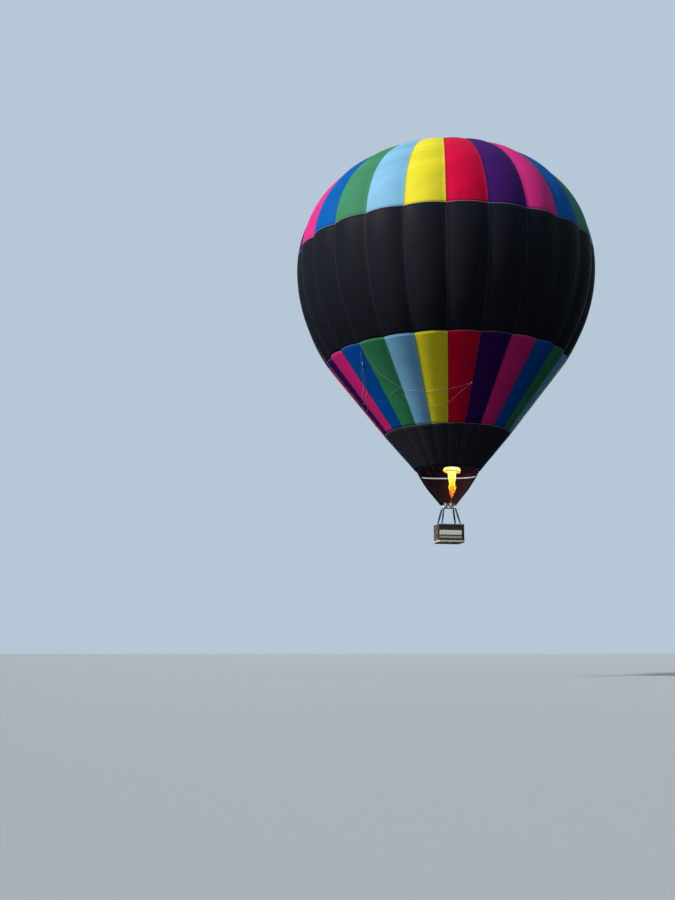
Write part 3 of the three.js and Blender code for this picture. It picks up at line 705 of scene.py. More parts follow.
def make_piece(name, parts, looks, slot, node=None, index=None, smooth=True, bevelled=None, body="balloon"):
    """One object of several parts, which rides on a body and may stand for a node.

    index gives each face's place in a list of looks, and bevelled a width and a count of segments.
    """
    vertices, faces = [], []
    for points, polygons in parts:
        faces.extend([[len(vertices) + i for i in polygon] for polygon in polygons])
        vertices.extend(tuple(point) for point in points)
    data = bpy.data.meshes.new(name)
    data.from_pydata(vertices, [], faces)
    for look in looks if isinstance(looks, (list, tuple)) else [looks]:
        data.materials.append(look)
    if index is not None:
        data.polygons.foreach_set("material_index", np.asarray(index, np.int32))
    data.polygons.foreach_set("use_smooth", np.full(len(data.polygons), smooth))
    data.update()
    piece = add_object(name, data)
    if bevelled:
        bevel(piece, *bevelled)
    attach(piece, body)
    if node:
        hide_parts(node)
    return piece


def give_coordinates(piece, name, vectors, sides=2):
    """Stores a vector for each point, the same on both sides of a shell, for a material to read by name."""
    layer = piece.data.attributes.new(name, "FLOAT_VECTOR", "POINT")
    layer.data.foreach_set("vector", np.tile(np.asarray(vectors, np.float32).ravel(), sides))


# The envelope's skin

BELLY_ANGLE = math.asin(-CONE_START / LOWER_HALF_AXIS)
CONE_SLOPE = EQUATOR_RADIUS * math.cos(BELLY_ANGLE) / (CONE_START - CONE_APEX)
BASE_TOP_RADIUS = (STRIPES_BOTTOM - CONE_APEX) * CONE_SLOPE
BASE_SLOPE = (BASE_TOP_RADIUS - MOUTH_RADIUS) / (STRIPES_BOTTOM - MOUTH)


def profile(station):
    """Radius and height of the skin at a station: 0 to 1 crown, 1 to 2 belly, 2 to 3 cone, 3 to 4 base."""
    if station <= 1:
        angle = station * math.pi / 2
        power = 2 / CROWN_POWER
        return EQUATOR_RADIUS * math.sin(angle) ** power, CROWN_HEIGHT * max(math.cos(angle), 0) ** power
    if station <= 2:
        angle = (station - 1) * BELLY_ANGLE
        return EQUATOR_RADIUS * math.cos(angle), -LOWER_HALF_AXIS * math.sin(angle)
    if station <= 3:
        z = CONE_START + (station - 2) * (STRIPES_BOTTOM - CONE_START)
        return (z - CONE_APEX) * CONE_SLOPE, z
    z = STRIPES_BOTTOM + (station - 3) * (MOUTH - STRIPES_BOTTOM)
    return MOUTH_RADIUS + (z - MOUTH) * BASE_SLOPE, z


def station_at_height(z):
    if z >= 0:
        return math.acos((z / CROWN_HEIGHT) ** (CROWN_POWER / 2)) / (math.pi / 2)
    if z >= CONE_START:
        return 1 + math.asin(-z / LOWER_HALF_AXIS) / BELLY_ANGLE
    return 2 + (z - CONE_START) / (STRIPES_BOTTOM - CONE_START)


def station_at_radius(r):
    return math.asin((r / EQUATOR_RADIUS) ** (CROWN_POWER / 2)) / (math.pi / 2)


VENT = station_at_radius(VENT_RADIUS)
SEAT = station_at_radius(VALVE_RADIUS)
PATCH = station_at_radius(VALVE_PATCH_RADIUS)
BELT_START = station_at_height(BELT_TOP)
STRIPES_START = station_at_height(BELT_BOTTOM)
BASE_START = station_at_height(STRIPES_BOTTOM)
MOUTH_EDGE = 4.0


def even_stations(first, last, spacing):
    """Stations a like distance apart along the skin, and how far each lies from the pole."""
    fine = np.linspace(0.0, MOUTH_EDGE, 8001)
    length = running_length(np.array([profile(s) for s in fine]))
    start, stop = np.interp([first, last], fine, length)
    count = max(2, round((stop - start) / spacing) + 1)
    along = np.linspace(start, stop, count)
    return np.interp(along, length, fine), along


def skin_grid(stations, along, depth, column=np.arange(GORES * ACROSS), pucker=0.0):
    """Points of the lobed skin at a depth, a row for each station. Column 0 is the load tape on +X."""
    share = (column % ACROSS) / ACROSS
    scale = 1 - GORE_BULGE * (2 * share - 1) ** 2
    angle = column * GORE_ANGLE / ACROSS
    rows = []
    for station, run in zip(stations, along):
        r, z = profile(station)
        r0, z0 = profile(max(station - STEP, 0))
        r1, z1 = profile(station + STEP)
        length = math.hypot(r1 - r0, z1 - z0)
        along_r, along_z = ((r1 - r0) / length, (z1 - z0) / length) if station > 0 else (1, 0)
        from_tape = np.minimum(share, 1 - share) * r * GORE_ANGLE
        wave = np.sin(run * 2 * math.pi / PUCKER_LENGTH + np.floor(column / ACROSS) * 2.1)
        fall = np.exp(-from_tape / PUCKER_REACH) * (1 - np.exp(-from_tape / PUCKER_START))
        sink = depth + pucker * wave * fall
        radius = (r + along_z * sink) * scale
        rows.append(np.stack([radius * np.cos(angle), radius * np.sin(angle), z - along_r * sink], 1))
    return np.array(rows)


def cloth_coordinates(stations, along):
    """Metres across and along each gore, and the gore's number, for the cloth's texture."""
    column = np.arange(GORES * ACROSS)
    rows = []
    for station, run in zip(stations, along):
        across = column / ACROSS * profile(station)[0] * GORE_ANGLE
        rows.append(np.stack([across, np.full(len(column), run), column // ACROSS], 1))
    return np.array(rows).reshape(-1, 3)


def gore_index(columns):
    """Each face's place in the cloth colours, by the column that it lies in."""
    first = FIRST_GORE * GORES // 360
    return [list(CLOTH).index(GORE_COLOURS[(column // ACROSS - first) % GORES]) for column in columns]


def cloth_band(name, first, last, node, coloured=None, plain=(), body="balloon", depth=0.0, pucker=PUCKER):
    """One band of the envelope as a closed shell, with coloured gores or a plain look for each side."""
    stations, along = even_stations(first, last, CLOTH_ROW)
    sides = [skin_grid(stations, along, at, pucker=pucker) for at in (depth, depth + SHELL)]
    vertices, faces, column, side = grid_shell(*sides, closed=True)
    looks = list(coloured.values()) if coloured else plain
    index = gore_index(column) if coloured else side == 1
    slot = "envelope_colours" if coloured else "envelope_black"
    piece = make_piece(name, [(vertices, faces)], looks, slot, node, index, body=body)
    give_coordinates(piece, "cloth", cloth_coordinates(stations, along))


def strip_round(station, low, high, proud):
    """A thin strip round the skin, between two distances down it from a station, with its own stations."""
    step = STEP if high > 0 else -STEP
    (r, z), (r1, z1) = profile(station), profile(station + step)
    rate = STEP / math.hypot(r1 - r, z1 - z)
    span, run = (station + low * rate, station + high * rate), (0.0, high - low)
    sides = [skin_grid(span, run, depth) for depth in (-proud, STRIP_DEPTH)]
    return grid_shell(*sides, closed=True), (span, run)


def seam_rings(name, stations, coloured):
    """Sewn seams round the envelope: thin doubled strips of the same cloth, at given stations."""
    parts, index, coordinates = [], [], []
    for station in stations:
        (vertices, faces, column, _), strip = strip_round(station, *SEAM_STRIP)
        parts.append((vertices, faces))
        index += gore_index(column) if coloured else [0] * len(faces)
        coordinates.append(np.tile(cloth_coordinates(*strip), (2, 1)))
    looks = list(seam_cloths.values()) if coloured else seam_cloths["black"]
    slot = "envelope_colours" if coloured else "envelope_black"
    piece = make_piece(name, parts, looks, slot, index=index, smooth=False)
    give_coordinates(piece, "cloth", np.concatenate(coordinates), 1)


def envelope():
    """The four bands, their seams round, and a narrow pale binding where a black band meets the colours."""
    cloth_band("crown_cloth", VENT, BELT_START, "envelope_crown", cloths)
    cloth_band("belt_cloth", BELT_START, STRIPES_START, "envelope_belt", plain=[cloths["black"]] * 2)
    # The lower band takes the darker copies of the cloths: painted shade
    cloth_band("stripes_cloth", STRIPES_START, BASE_START, "envelope_stripes", painted_shade_cloths)
    cloth_band("base_cloth", BASE_START, MOUTH_EDGE, "envelope_base", plain=[base_outside, base_inside])
    inset = 0.002
    rings = (
        ("crown_seams", VENT + 0.02, BELT_START - inset, 1.25, True),
        ("belt_seams", BELT_START + inset * 3, STRIPES_START - inset * 3, 1.25, False),
        ("stripe_seams", STRIPES_START + inset * 3, BASE_START - inset, 1.15, True),
        ("base_seams", BASE_START + inset * 6, 3.97, 1.1, False),
    )
    for name, first, last, spacing, coloured in rings:
        seam_rings(name, even_stations(first, last, spacing)[0], coloured)
    edges = (BELT_START, STRIPES_START, BASE_START)
    tapes = [strip_round(station, *EDGE_STRIP)[0][:2] for station in edges]
    make_piece("edge_tapes", tapes, edge_pale, "load_tape", smooth=False)


def tape_line(stations, along, depth, tape):
    """A load tape's line down the skin, at a depth."""
    return skin_grid(stations, along, depth, np.array([tape * ACROSS]))[:, 0]


def tape_side(tape, half):
    """Half a tape's width, across it."""
    angle = tape * GORE_ANGLE
    return np.array([-math.sin(angle), math.cos(angle), 0]) * half


def load_tapes():
    """Twenty-four woven tapes down the gore seams, from the vent's edge to the mouth."""
    stations, along = even_stations(VENT, MOUTH_EDGE, TAPE_ROW)
    parts = []
    for tape in range(GORES):
        centre, low = [tape_line(stations, along, depth, tape) for depth in TAPE_DEPTHS]
        side = tape_side(tape, TAPE_HALF)
        lift = (centre - low) * 0.5
        outer = np.stack([centre - side + lift, centre + lift * 0.4, centre + side + lift], 1)
        inner = np.stack([low - side, low, low + side], 1)
        parts.append(grid_shell(outer, inner)[:2])
    make_piece("load_tapes", parts, tape_dark, "load_tape")


def parachute():
    """The valve: a lobed cap of cloth under the vent, in the crown's colours, with a patch in its middle."""
    place = {"body": "valve", "depth": SHELL + GAP, "pucker": PUCKER / 2}
    cloth_band("valve_cloth", PATCH, SEAT, "parachute_valve", cloths, **place)
    outline = [(0.0, -0.035), (0.10, -0.030), (0.12, -0.022), (0.11, -0.012), (0.0, -0.010)]
    patch = lathe(outline, base=profile(PATCH)[1])
    make_piece("valve_centre", [patch], tape_white, "load_tape", body="valve")


def crown():
    """A steel ring at the pole, and a webbing strap to it from each load tape over the vent."""
    stations, along = even_stations(station_at_radius(0.15), VENT + 0.02, STRAP_ROW)
    parts = []
    for tape in range(GORES):
        path = tape_line(stations, along, -0.001, tape)
        side = tape_side(tape, STRAP_HALF)
        outer = np.stack([path - side, path + side], 1)
        parts.append(grid_shell(outer, outer - np.array([0, 0, STRAP_THICKNESS]))[:2])
    make_piece("crown_straps", parts, tape_white, "load_tape", "crown_tapes")
    ring = tube(circle(CROWN_RING_RADIUS, CROWN_HEIGHT - 0.002, 48), 0.008, closed=True)
    make_piece("crown_ring", [ring], steel, "frame_steel")


def mouth_hem():
    """The rolled hem round the mouth's edge."""
    vertices, faces = tube(skin_grid([MOUTH_EDGE], [0.0], SHELL / 2)[0], HEM_RADIUS, 8, closed=True)
    hem = make_piece("mouth_hem", [(vertices, faces)], base_outside, "envelope_black")
    give_coordinates(hem, "cloth", vertices, 1)


# Rigging

MOUTH_EDGE_RADIUS = MOUTH_RADIUS * (1 - GORE_BULGE)
LOOP_OUTSIDE = (MOUTH_RADIUS - SHELL / math.hypot(1, BASE_SLOPE)) * (1 - GORE_BULGE) - GAP
LOOP_HEIGHT = 0.045
LOOP_DEPTH = 0.014
LOOP_HALF = 0.008
WIRE_RADIUS = 0.0026
SLEEVE_RADIUS = 0.0048
CORNER_WIRES = GORES // 4


def frame_corner(sx, sy, z):
    """The middle of the burner frame's tube at a corner, at a height."""
    return Vector((sx * (FRAME_SIZE[0] - FRAME_TUBE) / 2, sy * (FRAME_SIZE[1] - FRAME_TUBE) / 2, z))


def wire_ends(tape):
    """Head, foot and tail of the wire from one load tape to its corner of the burner frame."""
    head = polar(LOOP_OUTSIDE - LOOP_DEPTH / 2, tape * GORE_ANGLE, MOUTH + LOOP_HEIGHT / 2)
    foot = frame_corner(*QUARTERS[tape % GORES // CORNER_WIRES], FRAME_Z + FRAME_TUBE / 2 + LUG_HEIGHT)
    level = Vector((head.x - foot.x, head.y - foot.y, 0)).normalized()
    return head, foot, foot + level * 0.024 + Vector((0, 0, 0.032))


def flying_wires():
    """Six stranded wires to each corner of the burner frame, from a loop inside the mouth for each."""
    loop = box((LOOP_OUTSIDE - LOOP_DEPTH, -LOOP_HALF, MOUTH), (LOOP_OUTSIDE, LOOP_HALF, MOUTH + LOOP_HEIGHT))
    ferrule = [(0.0, 0.0), (0.026, 0.0), (0.030, 0.004), (0.030, 0.022), (0.022, 0.030), (0.022, 0.046),
               (0.012, 0.058), (0.0, 0.060)]
    for name, corner in CORNERS.items():
        wires, fittings = [], []
        for i in range(CORNER_WIRES):
            tape = QUARTERS.index(corner) * CORNER_WIRES + i
            head, foot, tail = wire_ends(tape)
            course = (head - tail).normalized()
            wires.append(tube([tail.lerp(head, t) for t in np.linspace(0, 1, 9)], WIRE_RADIUS, 6))
            fittings.append(tube([head - course * 0.13, head - course * 0.05], SLEEVE_RADIUS, 8))
            fittings.append(tube([tail + course * 0.02, tail + course * 0.09], SLEEVE_RADIUS, 8))
            turn = Matrix.Rotation(tape * GORE_ANGLE, 3, "Z")
            fittings.append(([turn @ Vector(point) for point in loop[0]], loop[1]))
        fittings.append(lathe(ferrule, 20, foot, foot.z))
        make_piece(f"wires_{name}", wires, wire_rope, "wire_rope", f"flying_wires_{name}")
        make_piece(f"wire_ends_{name}", fittings, steel, "wire_rope")


def scoop_curve(tape):
    """The scoop's outside over one load tape, as close points from the mouth's edge down to its foot."""
    head, _, tail = wire_ends(tape)
    away = polar(1, tape * GORE_ANGLE)
    points = [away * MOUTH_EDGE_RADIUS + Vector((0, 0, MOUTH - SCOOP_GAP))]
    for share, out in SCOOP_BELLY:
        z = MOUTH + share * (SCOOP_BOTTOM - MOUTH)
        points.append(head.lerp(tail, (head.z - z) / (head.z - tail.z)) + away * out)
    return np.array(smooth_path(points, 121))


def scoop_point(curves, place, z, depth=0.0):
    """A point of the scoop's cloth at a place round it, counted in tapes, at a height and a depth inward."""
    gore = min(int(place), SCOOP_GORES - 1)
    share = place - gore
    here, there = [
        np.array([np.interp(-z, -curve[:, 2], curve[:, axis]) for axis in range(2)])
        for curve in (curves[gore], curves[gore + 1])
    ]
    angle = (SCOOP_FIRST_TAPE + place) * GORE_ANGLE
    away = np.array([math.cos(angle), math.sin(angle)])
    swell = math.sin(math.pi * (MOUTH - z) / (MOUTH - SCOOP_BOTTOM)) * math.sin(math.pi * share)
    lift = SCOOP_BULGE * swell + SCOOP_RIPPLE * math.sin(share * 4 * math.pi + gore) * swell
    return (*(here * (1 - share) + there * share + away * (lift - depth)), z)


def scoop_strip(curves, places, heights, near, far):
    """A closed strip of cloth on the scoop, in rows of places and heights, from one depth to another."""
    return grid_shell(*[
        [[scoop_point(curves, place, z, depth) for place, z in zip(*row)] for row in zip(places, heights)]
        for depth in (near, far)
    ])


def scoop():
    """Cloth below the mouth, round the back and sides: dark outside, maroon inside, gathered to the frame."""
    slot = "scoop_cloth"
    curves = [scoop_curve(SCOOP_FIRST_TAPE + k) for k in range(SCOOP_GORES + 1)]
    columns = np.arange(SCOOP_GORES * ACROSS + 1) / ACROSS
    levels = np.linspace(MOUTH - SCOOP_GAP, SCOOP_BOTTOM, SCOOP_ROWS + 1)
    places, heights = np.meshgrid(columns, levels)
    vertices, faces, _, side = scoop_strip(curves, places, heights, *CLOTH_DEPTHS)
    looks = [scoop_outside, scoop_inside]
    piece = make_piece("scoop_cloth", [(vertices, faces)], looks, slot, "scoop", side == 1)
    across = places * GORE_ANGLE * SCOOP_MEAN_RADIUS
    give_coordinates(piece, "cloth", np.stack([across, MOUTH - heights, places // 1], 2))

    lines = [[(place, z) for z in levels[::4]] for place in range(SCOOP_GORES + 1)]
    lines += [[(place, z) for place in columns] for z in levels[::SCOOP_ROWS // 2]]
    paths = [[scoop_point(curves, *spot, SEAM_DEPTH) for spot in line] for line in lines]
    seams = [tube(path, SEAM_RADIUS, 6) for path in paths]
    make_piece("scoop_seams", seams, scoop_tape, slot)

    bindings = []
    for end, inward in ((0, 1), (SCOOP_GORES, -1)):
        rows = []
        for z in levels:
            edge, next_tape = [np.array(scoop_point(curves, place, z)) for place in (end, end + inward)]
            reach = min(SCOOP_BINDING / np.linalg.norm(next_tape - edge), 1.0)
            rows.append((end + inward * reach * np.linspace(0, 1, 5))[::inward])
        across = np.repeat(levels[:, None], 5, 1)
        bindings.append(scoop_strip(curves, rows, across, *BINDING_DEPTHS)[:2])
    make_piece("scoop_binding", bindings, scoop_edge, slot)

    low = RIBBON_LOW - RIBBON_DIP * np.sin((columns - SCOOP_GORES / 2) * GORE_ANGLE) ** 2
    heights = [low + RIBBON_HEIGHT * share for share in (1, 0.67, 0.33, 0)]
    ribbon = scoop_strip(curves, [columns] * 4, heights, *RIBBON_DEPTHS)[:2]
    # The ribbon's glow is painted light
    make_piece("mouth_ribbon", [ribbon], ribbon_white, "load_tape", "mouth_tape")


def surface_point(degrees, z):
    """A point just off the skin, at degrees to the right of the basket's front and a height."""
    angle = math.radians(degrees - 90)
    scale = 1 - GORE_BULGE * (2 * ((angle / GORE_ANGLE) % 1) - 1) ** 2
    return polar(profile(station_at_height(z))[0] * scale + CORD_LIFT, angle, z)


def vent_lines():
    """Thin cords that lie over the lower band, from a knot on the left and one near its middle."""
    parts = []
    for radius, route in VENT_CORDS:
        steps = np.linspace(0, len(route) - 1, 60)
        spots = zip(*(np.interp(steps, range(len(route)), values) for values in zip(*route)))
        parts.append(tube([surface_point(*spot) for spot in spots], radius, 6))
    for knot in (LEFT_KNOT, MIDDLE_KNOT):
        centre = surface_point(*knot)
        parts.append(lathe([(0.0, -0.05), (0.04, -0.03), (0.04, 0.03), (0.0, 0.05)], 12, centre, centre.z))
    make_piece("vent_lines", parts, cord_white, "load_tape")


# Burner

def square_ring(size, thickness, bend, sides):
    """A rounded rectangle of round tube at the frame's height, by its size over all."""
    middle = [side - thickness for side in size]
    return tube(rounded_rectangle(middle, bend, FRAME_Z), thickness / 2, sides, closed=True)


def burner_frame():
    """The fixed frame of round tube with a lug at each corner, and the gimbal ring inside it."""
    parts = [square_ring(FRAME_SIZE, FRAME_TUBE, FRAME_BEND, 16)]
    lug = [(0.0, -0.03), (0.018, -0.03), (0.018, LUG_HEIGHT - 0.004), (0.014, LUG_HEIGHT), (0.0, LUG_HEIGHT)]
    socket = [(0.0, -0.04), (0.040, -0.04), (0.040, -0.012), (0.030, -0.002), (0.0, -0.002)]
    for corner in CORNERS.values():
        top = frame_corner(*corner, FRAME_Z + FRAME_TUBE / 2)
        parts.append(lathe(lug, 20, top, top.z))
        parts.append(lathe(socket, 24, top, top.z))
    inside = FRAME_SIZE[0] / 2 - FRAME_TUBE
    for side in (-1, 1):
        ends = [(side * (inside + out), 0, FRAME_Z) for out in (0.004, -0.002)]
        parts.append(tube(ends, 0.022, 20))
    make_piece("burner_frame", parts, steel, "frame_steel", "load_frame")

    parts = [square_ring(GIMBAL_SIZE, GIMBAL_TUBE, GIMBAL_BEND, 14)]
    start = GIMBAL_SIZE[0] / 2 - 0.012
    for side in (-1, 1):
        parts.append(tube([(side * x, 0, FRAME_Z) for x in (start, inside - 0.0025)], PIN_RADIUS, 16))
        parts.append(tube([(side * (start + x), 0, FRAME_Z) for x in (0.010, 0.022)], 0.019, 6))
    make_piece("gimbal", parts, steel_dark, "frame_steel", "gimbal_ring", body="gimbal")


def burner_block():
    """The manifold with its trunnion, valve bodies, taps, levers and a blank pressure dial at each end."""
    z = FRAME_Z
    reach = GIMBAL_SIZE[1] / 2 - GIMBAL_TUBE - 0.0005
    riser = [(0.0, 0.01), (0.040, 0.015), (0.040, 0.05), (0.052, 0.062), (0.052, 0.088), (0.0, 0.088)]
    valve = [(0.0, -0.035), (0.022, -0.034), (0.026, -0.01), (0.0, 0.0)]
    middle, half = Vector((0, 0, z)), Vector(MANIFOLD_HALF)
    block = [box(middle - half, middle + half)]
    block.append(tube([(0, -reach, z), (0, reach, z)], PIN_RADIUS, 16))
    taps, dials = [], []
    for side in (-1, 1):
        x = side * CAN_X
        block += [lathe(riser, 24, (x, 0), z), lathe(valve, 20, (x, 0), z)]
        block += [tube([(x, near, z), (x, near + 0.025, z)], 0.016, 6) for near in (0.02, -0.045)]
        lever = [(x, -0.045, z - 0.004), (x, -0.082, z - 0.018), (x, -0.118, z - 0.024)]
        taps.append(tube(lever, [0.007, 0.007, 0.009], 10))
        for spoke in circle(0.020, 0, 6):
            taps.append(tube([(x, 0.05, z), (x + spoke.x, 0.05, z + spoke.y)], 0.003, 6))
        back, front, face = [(x + 0.045 * side, y, z + 0.012) for y in (-0.030, -0.042, -0.0435)]
        taps.append(tube([back, front], 0.014, 20))
        dials.append(tube([front, face], 0.012, 20))
    slot = "burner_brass"
    make_piece("manifold", block, brass, slot, "burner_block", bevelled=(0.002, 2), body="burner")
    make_piece("burner_taps", taps, black_plastic, slot, body="burner")
    make_piece("burner_dials", dials, dial_white, slot, body="burner")


def burner_can(name, x):
    """A thin steel can with two rows of air holes and rolled lips, and the coil of fuel tube inside it."""
    rows, columns, centre = 26, 96, (x, 0)
    top = CAN_BOTTOM + CAN_HEIGHT
    heights = np.linspace(top, CAN_BOTTOM, rows + 1)
    taper = np.clip((CAN_BOTTOM + TAPER_HEIGHT - heights) / TAPER_HEIGHT, 0, 1) ** 2
    bead = np.exp(-((heights - CAN_BOTTOM - BEAD_HEIGHT) / 0.004) ** 2)
    radii = CAN_RADIUS - CAN_WALL - CAN_TAPER * taper + BEAD * bead
    sides = [
        [circle(r * share, z, columns, centre) for r, z in zip(radii, heights)]
        for share in (1, 1 - CAN_WALL / CAN_RADIUS)
    ]
    keep = np.ones((rows, columns), bool)
    for row, start in ((19, 0), (20, 0), (16, 3), (17, 3)):
        keep[row, start::6] = False
        keep[row, start + 1::6] = False
    lip = tube(circle(CAN_RADIUS - 0.003, top - 0.003, columns, centre), 0.0035, 8, closed=True)
    plate = lathe([(0.040, 0.0), (0.128, 0.0), (0.128, 0.004), (0.040, 0.004)], 48, centre, CAN_BOTTOM)
    parts = [grid_shell(*sides, keep, closed=True)[:2], lip, plate]
    make_piece(f"can_{name}", parts, heat_steel, "burner_steel", f"burner_can_{name}", body="burner")

    per_turn = 28
    low, high, jets = CAN_BOTTOM + 0.018, top + 0.030, CAN_BOTTOM + 0.035
    steps = COIL_TURNS * per_turn
    rise = (high - low) / steps
    coil = [polar(COIL_RADIUS, 2 * math.pi * k / per_turn, low + rise * k, centre) for k in range(steps + 1)]
    parts = [tube(coil, COIL_TUBE, 8), tube(circle(JET_RADIUS, jets, 32, centre), JET_TUBE, 8, closed=True)]
    for angle in (0.5, 2.6, 4.7):
        leg = ((0.07, CAN_BOTTOM + 0.002), (0.084, CAN_BOTTOM + 0.03), (0.084, high))
        parts.append(tube([polar(r, angle, z, centre) for r, z in leg], 0.004, 6))
    parts.append(tube([(x - JET_RADIUS, 0, jets), (x + JET_RADIUS, 0, jets)], JET_TUBE, 8))
    parts.append(tube([(x, 0, CAN_BOTTOM - 0.004), (x, 0, jets)], 0.010, 8))
    make_piece(f"coil_{name}", parts, coil_steel, "burner_steel", f"burner_coil_{name}", body="burner")


def flame():
    """The right-hand burner's flame: a thin root, a licking stem, and a wide bright head with a skirt."""
    points = np.array(FLAME_OUTLINE)
    run = running_length(points[:, :2])
    vertices, under = [], []
    for i in range(FLAME_ROWS + 1):
        z, r, lean = (float(np.interp(run[-1] * i / FLAME_ROWS, run, points[:, axis])) for axis in range(3))
        t = (z - FLAME_BOTTOM) / (FLAME_TOP - FLAME_BOTTOM)
        stem = max(0.0, 1 - t / 0.8)
        skirt = max(0.0, r - 0.28) * max(0.0, 1 - (z - FLAME_DROOP) / 0.20)
        for k in range(FLAME_COLUMNS):
            a = 2 * math.pi * k / FLAME_COLUMNS
            lick = 0.04 * math.sin(3 * a + 9 * t) + 0.07 * math.sin(5 * a - 23 * t) * stem
            lick += 0.05 * math.sin(31 * t) * stem
            droop = skirt * (0.26 + 0.26 * math.cos(a) + 0.10 * math.sin(4 * a + 1.3))
            vertices.append(polar(r * (1 + lick), a, z - droop, (CAN_X + lean, 0)))
        under.append(r > 0.33 and z < FLAME_SKIRT)
    faces = loft_faces(FLAME_ROWS + 1, FLAME_COLUMNS)
    index = [*np.repeat(under[:-1], FLAME_COLUMNS), 0, 0]
    looks = [flame_glow, flame_edge]
    piece = make_piece("burner_flame", [(vertices, faces)], looks, "burner_steel", index=index, body="burner")
    piece.visible_diffuse = False


def uprights():
    """Padded covers round the uprights and hoses, each with creases, a zip and three straps."""
    foot_y = HALF_BASKET[1] + RIM_OVERHANG - RIM_WIDTH / 2
    steps = 56
    for name, (sx, sy) in CORNERS.items():
        foot = Vector((sx * UPRIGHT_FOOT_X, sy * foot_y, RIM_TOP))
        head = frame_corner(sx, sy, FRAME_Z - FRAME_TUBE / 2)
        path, radii = [], []
        for t in (k / steps for k in range(steps + 1)):
            path.append(foot.lerp(head, UPRIGHT_INSET + (1 - 2 * UPRIGHT_INSET) * t))
            body = float(np.interp(t, (0.0, 0.5, 1.0), UPRIGHT_RADII)) - 0.003
            crease = 0.0022 * math.sin(47 * t + sx) + 0.0016 * math.sin(83 * t * (1 + 0.2 * sy))
            radii.append((body + crease) * min(1.0, 0.55 + 9 * t, 0.55 + 9 * (1 - t)))
        parts = [tube(path, radii, 24)]
        slot = "upright_cover"
        cover = make_piece(f"cover_{name}", parts, shaded_cover_cloths[name], slot, f"upright_{name}")
        side = Vector((sx, sy, 0)).normalized()
        zip_path = [p + side * (r + 0.003) for p, r in zip(path[3:-3], radii[3:-3])]
        trims = [tube(zip_path, 0.004, 6)]
        for k in (5, steps // 2, steps - 5):
            ring = circle(radii[k] + 0.001, path[k].z, 24, path[k])
            trims.append(tube(ring, 0.004, 6, closed=True))
        make_piece(f"cover_zip_{name}", trims, black_plastic, slot)


# Basket

def weave_offset(s, h):
    """How far the weave stands out at a length along the wall and a height, as canes cross the stakes."""
    across = np.abs(np.sin(math.pi * h / CANE))
    over = np.cos(math.pi * s / STAKE + math.pi * np.floor(h / CANE))
    return across * WEAVE_DEPTH * (0.9 + over) - WEAVE_DEPTH


def woven_wall(name, axis, side, count, look, holes=()):
    """A woven wall along X or Y (axis 0 or 1), on one side of the basket, with a hole at each foothold."""
    straight = HALF_BASKET[axis] - CORNER_RADIUS - GAP
    run = np.linspace(-straight, straight, count) * (side if axis else -side)
    lengths = np.abs(run - run[0])
    rows = round((WALL_TOP - WALL_BOTTOM) / CANE * 3)
    heights = np.linspace(WALL_TOP, WALL_BOTTOM, rows + 1)

    def points(distance, h):
        spots = [run, side * (HALF_BASKET[1 - axis] + distance)]
        return np.column_stack([*spots[::-1 if axis else 1], np.full(count, h)])

    outer, inner, weave = [], [], []
    for h in heights:
        up = h - WALL_BOTTOM
        outer.append(points(weave_offset(lengths, up) - 0.0005, h))
        inner.append(points(0.001 - WALL - weave_offset(lengths + STAKE, up), h))
        weave.append(np.column_stack([lengths / (STAKE * 4), np.full(count, up / CANE), np.zeros(count)]))
    keep = np.ones((rows, count - 1), bool)
    middle_run, middle_z = (run[:-1] + run[1:]) / 2, (heights[:-1] + heights[1:]) / 2
    for across, z in holes:
        beside, level = np.abs(middle_run - across), np.abs(middle_z - z)
        keep &= ~((level < FOOTHOLD_HALF[1])[:, None] & (beside < FOOTHOLD_HALF[0])[None, :])
    part = grid_shell(outer, inner, keep)[:2]
    piece = make_piece(f"wall_{name}", [part], look, "wicker", f"basket_wall_{name}")
    give_coordinates(piece, "weave", weave)


def foothold_trim(name, side):
    """A padded hide lining round each foothold, inside and out."""
    parts = []
    for y, z in FOOTHOLDS:
        for x in (side * HALF_BASKET[0], side * (HALF_BASKET[0] - WALL)):
            loop = rounded_rectangle(FOOTHOLD_TRIM, 0.03, per_corner=5)
            parts.append(tube([(x, y + p.x, z + p.y) for p in loop], 0.011, 8, closed=True))
    make_piece(f"foothold_trim_{name}", parts, hide, "hide")


def corner_hide(name, corner):
    """Hide laced over one corner of the basket."""
    centre = [sign * (half - CORNER_RADIUS) for sign, half in zip(corner, HALF_BASKET)]
    start = QUARTERS.index(corner) * 90
    angles = np.radians(np.linspace(start, start + 90, 15))
    outer, inner = [], []
    for h in np.linspace(WALL_TOP, WALL_BOTTOM, 60):
        dents = 0.0025 * np.sin(h * 23 + angles * 3) * np.sin(h * 9)
        outer.append([polar(CORNER_RADIUS + dent, angle, h, centre) for angle, dent in zip(angles, dents)])
        inner.append([polar(CORNER_RADIUS - WALL, angle, h, centre) for angle in angles])
    parts = [grid_shell(outer, inner)[:2]]
    make_piece(f"corner_{name}", parts, hide, "hide", f"basket_corner_{name}")
    stitches = []
    for angle, turn in ((angles[0], 1), (angles[-1], -1)):
        along = polar(turn, angle + math.pi / 2)
        for h in np.arange(WALL_BOTTOM + 0.05, WALL_TOP - 0.03, LACING_SPACING):
            near, middle = [polar(CORNER_RADIUS + out, angle, h, centre) for out in (0.002, 0.006)]
            rises = [Vector((0, 0, rise)) for rise in (0.008, 0.018)]
            stitch = [near + along * 0.016, middle + rises[0], near - along * 0.018 + rises[1]]
            stitches.append(tube(stitch, 0.0025, 6))
    make_piece(f"lacing_{name}", stitches, lace, "hide")


def basket_walls():
    """The four woven walls, the lined footholds in the end walls, and the hide corners."""
    for name, side in (("front", -1), ("back", 1)):
        woven_wall(name, 0, side, 92, wicker)
    for name, side in (("left", -1), ("right", 1)):
        # The end walls' lighter cane is painted light
        woven_wall(name, 1, side, 58, wicker_ends_painted_lit, FOOTHOLDS)
        foothold_trim(name, side)
    for name, corner in CORNERS.items():
        corner_hide(name, corner)


